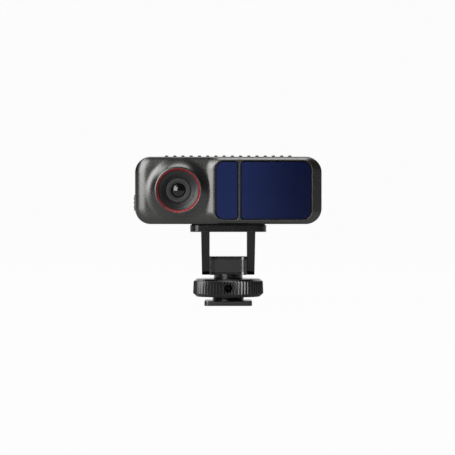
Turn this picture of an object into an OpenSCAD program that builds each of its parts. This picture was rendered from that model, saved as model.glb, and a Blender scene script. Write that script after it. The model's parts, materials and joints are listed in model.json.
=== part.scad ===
// Bar-shaped action camera with one lens and two infrared windows. It sits on a two-legged
// yoke that tilts on a block, over a knurled clamping wheel and an accessory-shoe foot.
// Millimetres. +X is to the right seen from the front, the front faces -Y and +Z is up.
// The origin is the centre of the foot's bottom face.

/* [Body] */
// Width of the body
body_w = 72; // [69:0.5:80]
// Height of the body without its ribs
body_h = 26; // [25.5:0.5:30]
// Depth of the body from the window frame to the back
body_d = 26; // [25:0.5:31]
// Corner radius of the body seen from the front
corner_r = 5.2; // [4.6:0.1:6.2]
// Wall of both shells
wall = 1.8; // [1.5:0.1:2]
// Depth of the front shell from the window frame to the seam
front_d = 6.5; // [6.4:0.1:7.5]
// Thickness of the seal between the shells
seal_t = 0.5; // [0.3:0.1:0.8]
// Step of the seal behind the outside of the shells
seal_set = 0.4; // [0.2:0.1:0.6]
// Width of the seal's rim
seal_w = 1; // [0.6:0.1:1.1]
// Width of the rounding of the left edge beside the lens
edge_side_r = 4.6; // [4:0.1:5]
// Width of the rounding of the top and bottom edges beside the lens
edge_top_r = 4.4; // [3.6:0.1:4.8]
// Depth of those roundings
edge_d = 2.1; // [1.8:0.1:2.4]
// Rounding of the edges at the back
rear_r = 2.5; // [1.5:0.1:3]

/* [Ribs] */
// Number of ribs over the top and down the back
rib_count = 16; // [8:1:17]
// Distance from one rib to the next
rib_pitch = 3.2; // [2.4:0.1:3.3]
// Width of a rib
rib_w = 1.3; // [0.8:0.1:1.8]
// Height of a rib
rib_h = 0.7; // [0.4:0.1:1.2]
// Gap from the seam to the ribs
rib_start = 1; // [0.4:0.1:3]
// Depth below the middle of the back at which the ribs end
rib_drop = 1.5; // [0:0.1:2]

/* [Window frame] */
// Width of the bevel at the right end
bevel_side = 3.5; // [2.5:0.1:4.5]
// Width of the bevels along the top and the bottom
bevel_top = 1.3; // [0.8:0.1:1.8]
// Depth of the bevel at the right end and of the ramp at the left
bevel_d = 0.6; // [0.4:0.1:0.8]
// Flat land between a window and the bevel
frame_land = 0.3; // [0.2:0.1:0.6]
// Depth of the floor round the lens behind the window frame
lens_recess = 0.5; // [0.4:0.1:0.6]
// Width of the ramp from the window frame down to the lens
ramp_w = 2; // [1.6:0.1:2.4]
// Depth of the hollow behind the window frame
roof_d = 3.8; // [3.6:0.1:4]

/* [Windows] */
// Width of the narrow window's pocket
narrow_w = 9; // [7.5:0.1:11]
// Width of the bar between the windows
divider_w = 0.7; // [0.5:0.1:1.5]
// Corner radius at the narrow window's left end
narrow_r = 3.3; // [2:0.1:4]
// Corner radius at the wide window's right end
wide_r = 3.6; // [2:0.1:4.5]
// Corner radius beside the bar
divider_r = 1.4; // [0.8:0.1:2.5]
// Thickness of the windows
glass_t = 1.2; // [0.8:0.1:1.5]
// Step of the windows behind their frame
glass_set = 0.15; // [0.05:0.05:0.3]
// Gap round the windows
glass_gap = 0.1; // [0.05:0.05:0.15]
// Thickness of the window gaskets
gasket_t = 0.3; // [0.2:0.1:0.5]
// Width of the window gaskets
gasket_w = 1; // [0.6:0.1:1.2]

/* [Lens] */
// Distance of the lens axis from the left side
lens_inset = 16.8; // [16:0.1:18]
// Distance of the narrow window from the lens axis
lens_to_window = 14.2; // [14:0.1:16]
// Height of the collar's rim in front of the window frame
collar_out = 1.2; // [0.6:0.1:1.8]
// Radius of the collar at its foot
collar_foot_r = 12; // [11:0.1:12.4]
// Radius at which the collar's slope would be level
collar_level_r = 12.9; // [12.6:0.1:13.2]
// Wall of the collar round the ring
collar_rim = 0.5; // [0.3:0.1:0.8]
// Radius of the red ring
ring_r = 8.5; // [8:0.1:9]
// Width of the red ring
ring_w = 0.85; // [0.6:0.05:1.1]
// Step of the red ring behind the rim
ring_set = 0.2; // [0.1:0.1:0.5]
// Depth of the red ring's funnel
ring_funnel = 0.8; // [0.5:0.1:1]
// Thickness of the red ring
ring_t = 1.1; // [1.1:0.1:1.5]
// Radius of the bezel's step
step_r = 6.3; // [5.8:0.1:6.8]
// Depth of the bezel's flat part
step_d = 0.4; // [0.2:0.1:0.6]
// Depth of the bezel's cone
cone_d = 1.5; // [1:0.1:1.8]
// Thickness of the bezel behind its cone
bezel_back = 1.2; // [0.8:0.1:1.5]
// Radius of the lens barrel
barrel_r = 4.8; // [4.5:0.1:5.2]
// Length of the lens barrel
barrel_len = 11; // [10:0.5:11.5]
// Gap round the lens barrel in the bezel
barrel_gap = 0.15; // [0.1:0.05:0.3]
// Step of the barrel's face behind the rim
barrel_set = 2.9; // [2.4:0.1:3.2]
// Radius of the front element
front_glass_r = 2.8; // [2.4:0.1:3.4]
// Thickness of the front element
front_glass_t = 1.8; // [1.4:0.1:2.4]
// Height of the front element's dome
front_glass_dome = 0.9; // [0.5:0.1:1.2]
// Radius of the light path behind the front element
light_r = 2.2; // [1.8:0.1:2.3]
// Thickness of the inner element
inner_glass_t = 2; // [1:0.1:2.5]
// Depth of the inner element behind the barrel's face
inner_glass_at = 5.5; // [4:0.1:7]

/* [Picture sensor] */
// Wall of the lens holder
holder_wall = 1.3; // [1:0.1:1.8]
// Length of the lens holder's tube
holder_len = 5; // [4:0.5:6]
// Side of the lens holder's square base
holder_base = 14; // [13:0.5:15]
// Thickness of that base
holder_base_t = 1.4; // [1:0.1:1.8]
// Thickness of the infrared filter
filter_t = 0.3; // [0.2:0.1:0.5]
// Side of the square picture sensor
sensor_side = 6; // [5:0.1:6.6]
// Thickness of the picture sensor
sensor_t = 0.9; // [0.6:0.1:1.2]
// Width of the sensor board
sensor_board_w = 15; // [14.5:0.5:18]
// Thickness of the small boards
small_board_t = 1; // [0.8:0.1:1.2]
// Room round the picture sensor in its holder
sensor_room = 0.2; // [0.1:0.05:0.3]
// Gap of the sensor board to the shells above and below it
sensor_board_gap = 0.3; // [0.2:0.05:0.6]
// Radius of the posts that carry the sensor board
sensor_post_r = 1.5; // [1.3:0.1:1.7]

/* [Ranging] */
// Side of the square laser emitter
emitter_side = 6; // [5:0.1:7]
// Height of the laser emitter
emitter_h = 4; // [3:0.1:4.5]
// Radius of the emitter's lens
emitter_lens_r = 2.3; // [1.8:0.1:2.6]
// Thickness of the emitter's lens
emitter_lens_t = 1; // [0.6:0.1:1.4]
// Distance of the receiver's axis from the right side wall
receiver_in = 15.7; // [15.5:0.1:16.5]
// Radius of the receiver's barrel
receiver_r = 5.5; // [5.2:0.1:5.8]
// Length of the receiver's barrel
receiver_len = 6; // [5:0.1:6.4]
// Wall of the receiver's barrel
receiver_wall = 1.3; // [1:0.1:1.5]
// Step behind the receiver's glass
receiver_step = 0.6; // [0.4:0.1:0.8]
// Thickness of the receiver's glass
receiver_glass_t = 1.8; // [1.2:0.1:2]
// Side of the range sensor
range_chip = 5; // [4:0.1:5.4]
// Thickness of the range sensor
range_chip_t = 0.8; // [0.6:0.1:1.2]
// Height of the range board
range_h = 14; // [13:0.5:14.5]
// Overhang of the range board past the emitter and the receiver
range_over = 7.5; // [7.4:0.1:8]
// Distance of the spacers from the ends of the range board
spacer_end = 2.2; // [2:0.1:2.4]
// Distance of the spacers from the long edges of the range board
spacer_edge = 1.8; // [1.6:0.1:2]

/* [Electronics] */
// Thickness of the main board
board_t = 1.2; // [1:0.1:1.6]
// Gap round the main board
board_gap = 1.4; // [1:0.1:2]
// Height of the standoffs that carry the main board
standoff_h = 5.5; // [5.2:0.1:6.2]
// Radius of the standoffs
standoff_r = 1.7; // [1.5:0.1:1.8]
// Distance of the standoffs from the side wall
standoff_in = 7.2; // [7:0.1:8]
// Height of the standoffs' centres above and below the middle
standoff_z = 4.4; // [4:0.1:4.8]
// Length of the spacers between the boards
spacer_len = 5.7; // [5.5:0.1:6.2]
// Radius of the spacers
spacer_r = 1.4; // [1.3:0.1:1.5]
// Length of the connector between the boards
connector_l = 8; // [6:0.5:9]
// Width of the connector between the boards
connector_w = 3; // [2:0.1:4]
// Side of the processor
processor_side = 12; // [10:0.5:12.5]
// Height of the processor's middle above the middle of the body
processor_up = 1; // [0.8:0.1:1.4]
// Thickness of the processor
processor_t = 1.2; // [0.8:0.1:1.6]
// Thickness of the thermal pad
thermal_t = 0.6; // [0.4:0.1:1]
// Distance of the heat spreader's ends from the sides of the body
spreader_in = 23; // [22.5:0.5:26]
// Height of the heat spreader
spreader_h = 13; // [12:0.5:13]
// Length of a memory chip
memory_l = 9; // [7:0.5:10]
// Width of a memory chip
memory_w = 5; // [4:0.5:5.5]
// Thickness of a memory chip
memory_t = 1; // [0.8:0.1:1.4]
// Gap between the memory chips
memory_gap = 1; // [0.5:0.1:2]
// Gap between the memory chips and the heat spreader
memory_in = 2.5; // [1:0.1:4]
// Width of the ribbon
ribbon_w = 6; // [4:0.5:8]
// Thickness of the ribbon
ribbon_t = 0.25; // [0.15:0.05:0.4]
// Start of the ribbon to the right of the lens axis
ribbon_start = 2.2; // [1:0.1:4]
// End of the ribbon to the right of the lens axis
ribbon_end = 10; // [8:0.5:10.5]

/* [Socket] */
// Width of the socket
usb_w = 9; // [8.5:0.1:9.4]
// Height of the socket
usb_h = 3.2; // [3:0.1:3.6]
// Wall of the socket
usb_wall = 0.3; // [0.2:0.05:0.4]
// Thickness of the socket's back
usb_back = 1.8; // [1:0.1:2.2]
// Width of the socket's tongue
tongue_w = 6; // [5:0.1:6.6]
// Thickness of the socket's tongue
tongue_t = 0.8; // [0.6:0.1:1]
// Step of the tongue behind the socket's mouth
tongue_set = 0.9; // [0.6:0.1:1.5]
// Distance of the socket's middle from the right side of the body
usb_in = 17.5; // [17:0.1:18]
// Depth of the socket below the middle
usb_drop = 6; // [5.8:0.1:6.4]
// Step of the socket behind the rear face
usb_set = 0.4; // [0.2:0.1:0.8]

/* [Button] */
// Length of the button along the side
button_l = 6.4; // [5:0.1:7]
// Width of the button
button_w = 3; // [2.4:0.1:3.2]
// Height of the button outside the wall, with its ridges
button_out = 1.3; // [1:0.05:1.6]
// Number of ridges on the button
ridge_count = 3; // [2:1:4]
// Height of a ridge
ridge_h = 0.2; // [0.1:0.05:0.3]
// Thickness of a ridge
ridge_t = 0.8; // [0.4:0.1:1]
// Length of a ridge across the button
ridge_l = 1.6; // [1:0.1:2]
// Depth of the button's middle below the middle of the body
button_drop = 4.6; // [4.2:0.1:4.8]
// Travel of the button
button_travel = 0.4; // [0.2:0.05:0.45]
// Gap round the button
button_gap = 0.1; // [0.08:0.01:0.15]
// Thickness of the button's flange
flange_t = 0.8; // [0.6:0.1:1]
// Width of the button's flange
flange_w = 0.5; // [0.4:0.1:0.6]
// Depth of the button's seal in the wall
button_seal_d = 0.9; // [0.6:0.1:1]
// Width of the button's seal
button_seal_w = 0.7; // [0.5:0.1:0.8]
// Length of the switch
switch_l = 3.5; // [3:0.1:3.6]
// Depth of the switch
switch_d = 3.4; // [3:0.1:4]

/* [Screws] */
// Radius of the posts for the housing screws
post_r = 2.3; // [2.2:0.1:2.5]
// Distance of those posts from the side wall
post_in = 4.2; // [4.1:0.1:4.6]
// Radius of the housing screws
screw_r = 1; // [0.8:0.05:1.1]
// Radius of a housing screw's head
head_r = 1.75; // [1.6:0.05:1.8]
// Height of a housing screw's head
head_h = 1.4; // [1:0.1:1.6]
// Step of a housing screw's head behind the rear face
head_set = 0.3; // [0.2:0.1:0.6]
// Reach of the housing screws into the front shell
screw_bite = 2.5; // [2:0.1:2.8]
// Radius of the board screws
small_screw_r = 0.7; // [0.5:0.05:0.8]
// Reach of the board screws behind their board
small_screw_bite = 3.6; // [2.5:0.1:4.2]
// Radius of a board screw's head
small_head_r = 1.3; // [1.1:0.05:1.4]
// Height of a board screw's head
small_head_h = 0.9; // [0.6:0.1:1.1]

/* [Yoke] */
// Width of the plate
plate_w = 29.6; // [28:0.2:34]
// Depth of the plate
plate_d = 20; // [18:0.5:24]
// Thickness of the plate
plate_t = 2.65; // [2.25:0.1:3.5]
// Corner radius of the plate
plate_r = 3.6; // [2:0.1:5]
// Thickness of the pad on the plate
pad_t = 0.4; // [0.3:0.1:0.8]
// Step of the pad inside the plate's edge
pad_set = 0.5; // [0.3:0.1:1]
// Distance between the legs
leg_gap = 14.5; // [14:0.1:16]
// Thickness of a leg at the plate
leg_top_t = 3.3; // [3:0.1:4]
// Thickness of a leg at its lower end
leg_low_t = 3; // [2.8:0.1:3.2]
// Depth of a leg at the plate
leg_top_d = 13; // [10:0.5:16]
// Length of the legs
leg_h = 16.75; // [14:0.25:20]
// Radius of the corners at a leg's lower end
leg_corner = 1.9; // [1.7:0.1:2.2]
// Distance between the plate's screws
plate_screw_gap = 9; // [8.6:0.1:9.4]
// Radius of the plate's screws
plate_screw_r = 1.45; // [1.2:0.05:1.6]
// Radius of a plate screw's head
plate_head_r = 2.7; // [2.4:0.1:2.8]
// Length of the plate's screws
plate_screw_l = 7; // [6.5:0.1:7.5]
// Radius of the body's threaded inserts
insert_r = 2.2; // [2.1:0.1:2.4]
// Length of the body's threaded inserts
insert_l = 4.4; // [4.4:0.1:4.8]
// Wall round the body's threaded inserts
insert_wall = 1.1; // [0.8:0.1:1.2]

/* [Pivot] */
// Height of the pivot block
block_h = 7.2; // [7:0.1:8]
// Depth of the pivot block
block_d = 11; // [10.5:0.5:13]
// Rim of the pivot block beside its front and rear hollows
panel_rim = 0.2; // [0.2:0.1:0.5]
// Width of the hollows' slopes
panel_side = 1.9; // [1.4:0.1:2.2]
// Depth of the hollows
panel_d = 1; // [0.6:0.1:1.2]
// Thickness of the friction washers
friction_t = 0.4; // [0.3:0.05:0.6]
// Radius of the friction washers
friction_r = 2.9; // [2.6:0.1:3]
// Gap between the pivot block and a leg
block_gap = 0.05; // [0.05:0.01:0.1]
// Radius of the tilt screw
tilt_r = 1.5; // [1.3:0.05:1.6]
// Radius of the tilt screw's head
tilt_head_r = 2.7; // [2.5:0.1:2.8]
// Depth of the tilt screw's head and of the nut
tilt_head_h = 1.6; // [1.2:0.1:1.8]
// Width of the tilt nut across its flats
tilt_nut_w = 4.8; // [4.6:0.1:5]
// Depth of the head and the nut below the legs' outside
tilt_set = 0.2; // [0.1:0.05:0.3]
// Height of the collar under the block
neck_h = 1.6; // [1.4:0.05:1.65]
// Radius of that collar at its top
neck_top_r = 5.4; // [4.8:0.1:5.4]
// Radius of that collar at its foot
neck_low_r = 5.5; // [5.4:0.05:5.9]

/* [Wheel] */
// Radius of the wheel
wheel_r = 13.8; // [12:0.1:15]
// Height of the wheel
wheel_h = 7; // [6:0.1:8]
// Room over the wheel for its rise
wheel_room = 1.5; // [1.5:0.1:2.5]
// Teeth of the knurling
knurl_count = 66; // [40:1:80]
// Depth of the knurling
knurl_d = 0.6; // [0.4:0.05:0.65]
// Width of the wheel's chamfers
wheel_c_w = 1.5; // [0.8:0.1:1.8]
// Height of the wheel's chamfers
wheel_c_h = 1.35; // [0.9:0.05:1.5]
// Radius of the hole for a bar
bar_hole_r = 1.4; // [1:0.1:1.6]
// Depth of the hole for a bar
bar_hole_d = 5.5; // [4:0.1:6]
// Depth of the recess in the wheel's top
recess_d = 1.6; // [1.5:0.1:2]
// Gap round the collar in that recess
recess_gap = 0.6; // [0.4:0.1:0.8]
// Wall of the wheel's threaded insert
wheel_insert_wall = 1; // [0.8:0.1:1.3]

/* [Foot] */
// Width of the foot
foot_w = 18.5; // [18.3:0.1:18.6]
// Depth of the foot
foot_d = 18; // [16:0.5:18.5]
// Thickness of the foot
foot_t = 1.9; // [1.8:0.05:2]
// Corner radius of the foot
foot_r = 1.6; // [0.6:0.1:3]
// Room for the shoe's rails between the foot and the wheel
rail_gap = 1.5; // [1.45:0.05:1.7]
// Radius of the foot's neck at the foot
foot_neck_r = 6.2; // [5.8:0.05:6.2]
// Radius of the stud
stud_r = 3.175; // [3:0.025:3.3]
// Depth of the stud in the foot
stud_sink = 0.6; // [0.4:0.1:0.7]
// Depth of the stud in the block
stud_in_block = 1.6; // [1.2:0.1:1.7]
// Radius of the foot's screw
foot_screw_r = 1.4; // [1.2:0.1:1.6]
// Radius of the foot screw's head
foot_head_r = 2.4; // [2.2:0.1:2.6]
// Reach of the foot's screw into the stud
foot_screw_l = 5; // [3:0.5:6]
// Thickness of the clamp washer
washer_t = 0.6; // [0.5:0.05:0.7]
// Radius of the clamp washer
washer_r = 5; // [4.8:0.1:5.4]
// Width of the clamp washer's key
key_w = 1; // [0.8:0.1:1.4]
// Depth of the clamp washer's key
key_d = 0.5; // [0.3:0.1:0.7]

/* [Fits] */
// Gap of a running fit
run_gap = 0.05; // [0.03:0.01:0.08]
// Gap round parts that stand free of each other
free_gap = 0.1; // [0.08:0.01:0.15]
// Gap of the main board round the screw posts
post_gap = 0.4; // [0.3:0.1:0.6]

/* [Hidden] */
$fn = 64;
hull_fn = 32;
cut = 0.1;
skin = 0.01;
knit = 0.5;
edge_turns = [0, 22.5, 45, 67.5, 90];
join_r = 0.5;
socket_share = 0.5;

// Depths of the body, along Y
front_y = -body_d / 2;
rear_face_y = body_d / 2;
seam_y = front_y + front_d;
rear_y = seam_y + seal_t;
floor_y = front_y + lens_recess;
cavity_y = front_y + roof_d;
rim_y = front_y - collar_out;
back_wall_y = rear_face_y - wall;

// Places across the body
side_x = body_w / 2;
inner_x = side_x - wall;
inner_h = body_h / 2 - wall;
lens_x = lens_inset - side_x;
narrow_x0 = lens_x + lens_to_window;
narrow_x1 = narrow_x0 + narrow_w;
wide_x0 = narrow_x1 + divider_w;
wide_x1 = side_x - bevel_side - frame_land;
narrow_x = (narrow_x0 + narrow_x1) / 2;
receiver_x = inner_x - receiver_in;
pocket_h = body_h - 2 * (bevel_top + frame_land);
pocket_d = glass_set + glass_t + gasket_t;
post_x = inner_x - post_in;
post_z = inner_h - post_r + knit;

// Lens stack, along Y
ring_y = rim_y + ring_set;
bezel_y = ring_y + ring_t;
cone_y = bezel_y + step_d;
throat_y = cone_y + cone_d;
seat_y = throat_y + bezel_back;
bore_r = barrel_r + barrel_gap;
barrel_y = rim_y + barrel_set;
barrel_end_y = barrel_y + barrel_len;
filter_y = barrel_end_y + free_gap;
ledge_y = filter_y + filter_t;
chip_y = ledge_y + free_gap;
sensor_board_y = chip_y + sensor_t;
sensor_back_y = sensor_board_y + small_board_t;
holder_y = barrel_end_y - holder_len;
holder_r = barrel_r + holder_wall;
sensor_half = inner_h - sensor_board_gap;
sensor_post_z = sensor_half - sensor_post_r;

// Boards, along Y
board_back_y = back_wall_y - standoff_h;
board_y = board_back_y - board_t;
range_back_y = board_y - spacer_len;
range_y = range_back_y - small_board_t;
range_x0 = narrow_x - range_over;
range_x1 = receiver_x + range_over;
spacer_z = range_h / 2 - spacer_edge;
standoff_x = inner_x - standoff_in;
board_half_w = inner_x - board_gap * 2;
board_half_h = inner_h - board_gap;
spreader_y = board_back_y + processor_t + thermal_t;
spreader_w = 2 * (side_x - spreader_in);
memory_x = -spreader_w / 2 - memory_in - memory_l / 2;
connector_x = receiver_x - receiver_r - connector_l / 2;
usb_x = side_x - usb_in;

// Button
button_y = board_back_y + switch_d / 2;
flange_x = -inner_x + run_gap;
switch_x = flange_x + flange_t + button_travel + run_gap;
switch_end_x = -standoff_x - standoff_r - free_gap * 2;

// Heights, along Z
wheel_z = foot_t + rail_gap;
washer_z = wheel_z - washer_t - run_gap;
foot_neck_z = washer_z - free_gap;
wheel_top_z = wheel_z + wheel_h;
block_z = wheel_top_z + wheel_room;
pivot_z = block_z + block_h / 2;
leg_end_r = block_h / 2;
plate_z = block_z + leg_h;
pad_z = plate_z + plate_t;
body_z = pad_z + pad_t;
body_mid_z = body_z + body_h / 2;
neck_z = block_z - neck_h;

// Pivot and wheel
block_w = leg_gap - 2 * block_gap;
friction_x = leg_gap / 2 - friction_t - 2 * run_gap;
leg_low_x = leg_gap / 2 + leg_low_t;
tilt_face_x = leg_low_x - free_gap;
recess_r = neck_low_r + recess_gap;
thread_r = stud_r + run_gap;
wheel_insert_r = thread_r + wheel_insert_wall;
stud_z = foot_t - stud_sink;
stud_top_z = block_z + stud_in_block;

// Colours
gunmetal = "#4b4a48";
black_metal = "#262626";
black_plastic = "#161616";
rubber = "#101010";
red = "#b8323c";
grey = "#505050";
navy = "#1c2148";
clear_glass = "#5a6a78";
board_green = "#1f4a34";
chip_black = "#1b1b1d";
steel = "#9a9a9c";
brass = "#b08d4a";
silver = "#b4b6b8";

// Helper: draws its children in the body's own frame, with Z from the middle of the body.
module in_body() {
    translate([0, 0, body_mid_z]) children();
}

// Helper: pushes an outline in X and Z through a depth along +Y, from y.
module slab(y, depth) {
    translate([0, y + depth, 0]) rotate([90, 0, 0]) linear_extrude(depth) children();
}

// Helper: pushes an outline in Y and Z through a width along +X, from x.
module bar(x, width) {
    translate([x, 0, 0]) rotate([90, 0, 90]) linear_extrude(width) children();
}

// Helper: turns an outline of radius and Y about an axis along Y.
module turned(x, z) {
    translate([x, 0, z]) rotate([-90, 0, 0]) rotate_extrude() children();
}

// Helper: round rod along Y.
module rod(x, z, r, y0, y1) {
    translate([x, y0, z]) rotate([-90, 0, 0]) cylinder(r = r, h = y1 - y0);
}

// Helper: block that is centred in X and Z.
module brick(x, z, w, h, y0, y1) {
    translate([x - w / 2, y0, z - h / 2]) cube([w, y1 - y0, h]);
}

// Helper: upright box with one corner radius left and one right.
module round_box(x0, x1, h, r_left, r_right) {
    translate([x0 + r_left, -h / 2]) square([x1 - x0 - r_left - r_right, h]);
    translate([x0, r_left - h / 2]) square([r_left + skin, h - 2 * r_left]);
    translate([x1 - r_right - skin, r_right - h / 2]) square([r_right + skin, h - 2 * r_right]);
    for (side = [-1, 1]) {
        translate([x0 + r_left, side * (h / 2 - r_left)]) circle(r_left);
        translate([x1 - r_right, side * (h / 2 - r_right)]) circle(r_right);
    }
}

module body_outline(inset) {
    round_box(inset - side_x, side_x - inset, body_h - 2 * inset, corner_r - inset, corner_r - inset);
}

module narrow_outline(inset) {
    round_box(
        narrow_x0 + inset, narrow_x1 - inset, pocket_h - 2 * inset,
        max(narrow_r - inset, skin), max(divider_r - inset, skin)
    );
}

module wide_outline(inset) {
    round_box(
        wide_x0 + inset, wide_x1 - inset, pocket_h - 2 * inset,
        max(divider_r - inset, skin), max(wide_r - inset, skin)
    );
}

module oval(w, h) {
    square([w - h, h], center = true);
    for (side = [-1, 1]) translate([side * (w - h) / 2, 0]) circle(h / 2);
}

module plate_outline(inset) {
    half = plate_w / 2 - inset;
    round_box(-half, half, plate_d - 2 * inset, plate_r - inset, plate_r - inset);
}

module at_posts() {
    for (sx = [-1, 1], sz = [-1, 1]) translate([sx * post_x, 0, sz * post_z]) children();
}

module at_standoffs() {
    for (sx = [-1, 1], sz = [-1, 1]) translate([sx * standoff_x, 0, sz * standoff_z]) children();
}

module at_spacers() {
    for (x = [range_x0 + spacer_end, range_x1 - spacer_end], sz = [-1, 1])
        translate([x, 0, sz * spacer_z]) children();
}

module at_sensor_posts() {
    for (sz = [-1, 1]) translate([lens_x, 0, sz * sensor_post_z]) children();
}

module at_inserts() {
    for (sx = [-1, 1]) translate([sx * plate_screw_gap / 2, 0, 0]) children();
}

// Screw along Y with a round head at its back and a hexagonal socket.
module back_screw(r, tip_y, head_y, round_r, height) {
    difference() {
        union() {
            rod(0, 0, r, tip_y, head_y);
            rod(0, 0, round_r, head_y, head_y + height);
        }
        translate([0, head_y + height / 2, 0]) rotate([-90, 0, 0])
            cylinder(r = round_r * socket_share, h = height, $fn = 6);
    }
}

// Outline of the land round both windows, grown at its left end and on the other sides.
module land_outline(left, grow) {
    g = frame_land + grow;
    round_box(
        narrow_x0 - frame_land - left, wide_x1 + g, pocket_h + 2 * g, narrow_r + frame_land + left, wide_r + g
    );
}

// Frame of the windows: bevels of one slope that fall from the land to the body's outline, and a ramp at the left.
module window_frame() {
    $fn = hull_fn;
    intersection() {
        hull() {
            slab(front_y, skin) land_outline(0, 0);
            slab(front_y + bevel_d, front_d - bevel_d) land_outline(ramp_w, bevel_side);
        }
        slab(front_y, front_d)
            round_box(narrow_x0 - frame_land - ramp_w, side_x, body_h, join_r, corner_r);
    }
}

// Rounded face round the lens, as slices through its edge rounding.
module lens_face() {
    hull() {
        $fn = hull_fn;
        for (a = edge_turns) {
            in_side = edge_side_r * (1 - cos(a));
            in_top = edge_top_r * (1 - cos(a));
            y = floor_y + edge_d * (1 - sin(a));
            slab(y, seam_y - y) round_box(
                in_side - side_x, narrow_x0, body_h - 2 * in_top, corner_r - in_top, join_r
            );
        }
    }
}

// Collar that rises round the lens on a hollow slope, a parabola.
module lens_collar() {
    steps = 12;
    top_r = ring_r + collar_rim;
    rise = (rim_y - floor_y) / (collar_level_r - top_r) ^ 2;
    slope = [
        for (i = [0:steps])
            let (r = collar_foot_r + (top_r - collar_foot_r) * i / steps) [r, floor_y + rise * (collar_level_r - r) ^ 2]
    ];
    foot = [[0, floor_y + knit], [collar_foot_r, floor_y + knit]];
    turned(lens_x, 0) polygon(concat(foot, slope, [[0, rim_y]]));
}

module front_shell() {
    color(gunmetal) in_body() difference() {
        union() {
            difference() {
                union() {
                    window_frame();
                    lens_face();
                    lens_collar();
                }
                slab(cavity_y, seam_y - cavity_y + cut) body_outline(wall);
            }
            rod(lens_x, 0, ring_r + wall, cavity_y - knit, seat_y + wall);
            at_posts() rod(0, 0, post_r, cavity_y - knit, seam_y);
            at_sensor_posts() rod(0, 0, sensor_post_r, cavity_y - knit, sensor_board_y);
        }
        slab(front_y - cut, pocket_d + cut) narrow_outline(0);
        slab(front_y - cut, pocket_d + cut) wide_outline(0);
        slab(front_y, cavity_y - front_y) narrow_outline(gasket_w);
        slab(front_y, cavity_y - front_y) wide_outline(gasket_w);
        rod(lens_x, 0, ring_r, rim_y - cut, seat_y);
        rod(lens_x, 0, bore_r + barrel_gap, rim_y, seat_y + wall + cut);
        at_posts() rod(0, 0, screw_r, seam_y - screw_bite - free_gap, seam_y + cut);
        at_sensor_posts() rod(
            0, 0, small_screw_r, sensor_board_y - small_screw_bite - free_gap, sensor_board_y + cut
        );
    }
}

// Ribs as slices that run over the top and down the back.
module ribs() {
    low_z = -rib_drop;
    start_y = rear_y + rib_start;
    for (i = [0:rib_count - 1])
        bar((i - (rib_count - 1) / 2) * rib_pitch - rib_w / 2, rib_w) {
            translate([start_y, low_z])
                square([rear_face_y - rear_r - start_y, body_h / 2 + rib_h - low_z]);
            translate([start_y, low_z])
                square([rear_face_y + rib_h - start_y, body_h / 2 - rear_r - low_z]);
            translate([rear_face_y - rear_r, body_h / 2 - rear_r]) circle(rear_r + rib_h);
        }
}

module rear_form() {
    hull() {
        $fn = hull_fn;
        for (a = edge_turns)
            slab(rear_y, rear_face_y - rear_r * (1 - sin(a)) - rear_y) body_outline(rear_r * (1 - cos(a)));
    }
}

module button_outline(grow) {
    translate([button_y, -button_drop]) rotate(90) oval(button_l + 2 * grow, button_w + 2 * grow);
}

module rear_shell() {
    head_y = rear_face_y - head_set - head_h;
    boss_top = insert_l + free_gap - wall;
    color(gunmetal) in_body() difference() {
        union() {
            difference() {
                union() {
                    rear_form();
                    ribs();
                }
                slab(rear_y - cut, back_wall_y - rear_y + cut) body_outline(wall);
            }
            at_posts() rod(0, 0, post_r, seam_y, back_wall_y + knit);
            at_standoffs() rod(0, 0, standoff_r, board_back_y, back_wall_y + knit);
            at_inserts() translate([0, 0, -inner_h - knit])
                cylinder(r = insert_r + insert_wall, h = boss_top + knit);
        }
        at_posts() rod(0, 0, screw_r + free_gap, seam_y - cut, rear_face_y + cut);
        at_posts() rod(0, 0, head_r + free_gap, head_y, rear_face_y + cut);
        at_standoffs() rod(
            0, 0, small_screw_r, board_back_y - cut, board_back_y + small_screw_bite + free_gap
        );
        at_inserts() translate([0, 0, -body_h / 2 - cut])
            cylinder(r = insert_r, h = insert_l + free_gap + 2 * cut);
        slab(back_wall_y - cut, wall + rib_h + 2 * cut) translate([usb_x, -usb_drop])
            oval(usb_w + 2 * free_gap, usb_h + 2 * free_gap);
        bar(-side_x - cut, wall + 2 * cut) button_outline(button_gap);
        bar(-inner_x - button_seal_d, button_seal_d + cut) button_outline(button_seal_w);
    }
}

// Seal between the shells, cut back where the screw posts pass it.
module housing_seal() {
    color(rubber) in_body() difference() {
        slab(seam_y, seal_t) difference() {
            body_outline(seal_set);
            body_outline(seal_set + seal_w);
        }
        at_posts() rod(0, 0, post_r + free_gap, seam_y - cut, rear_y + cut);
    }
}

module housing_screws() {
    color(steel) in_body() at_posts()
        back_screw(screw_r, seam_y - screw_bite, rear_face_y - head_set - head_h, head_r, head_h);
}

module lens_ring() {
    inner_r = ring_r - ring_w;
    color(red) in_body() turned(lens_x, 0) polygon([
        [ring_r, ring_y],
        [ring_r, bezel_y],
        [inner_r, bezel_y],
        [inner_r, ring_y + ring_funnel],
        [ring_r - free_gap, ring_y]
    ]);
}

module lens_bezel() {
    color(black_plastic) in_body() turned(lens_x, 0) polygon([
        [ring_r, bezel_y],
        [ring_r, seat_y],
        [bore_r, seat_y],
        [bore_r, throat_y],
        [step_r, cone_y],
        [ring_r - ring_w, bezel_y]
    ]);
}

module lens_barrel() {
    glass_y = barrel_y + front_glass_t;
    color(grey) in_body() turned(lens_x, 0) polygon([
        [front_glass_r, barrel_y],
        [barrel_r, barrel_y],
        [barrel_r, barrel_end_y],
        [light_r, barrel_end_y],
        [light_r, glass_y],
        [front_glass_r, glass_y]
    ]);
}

// Front element with a domed face that stays behind the barrel's face.
module lens_front_glass() {
    dome_r = (pow(front_glass_r, 2) + pow(front_glass_dome, 2)) / (2 * front_glass_dome);
    color(clear_glass) in_body() intersection() {
        rod(lens_x, 0, front_glass_r, barrel_y, barrel_y + front_glass_t);
        translate([lens_x, barrel_y + dome_r, 0]) sphere(dome_r);
    }
}

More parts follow.
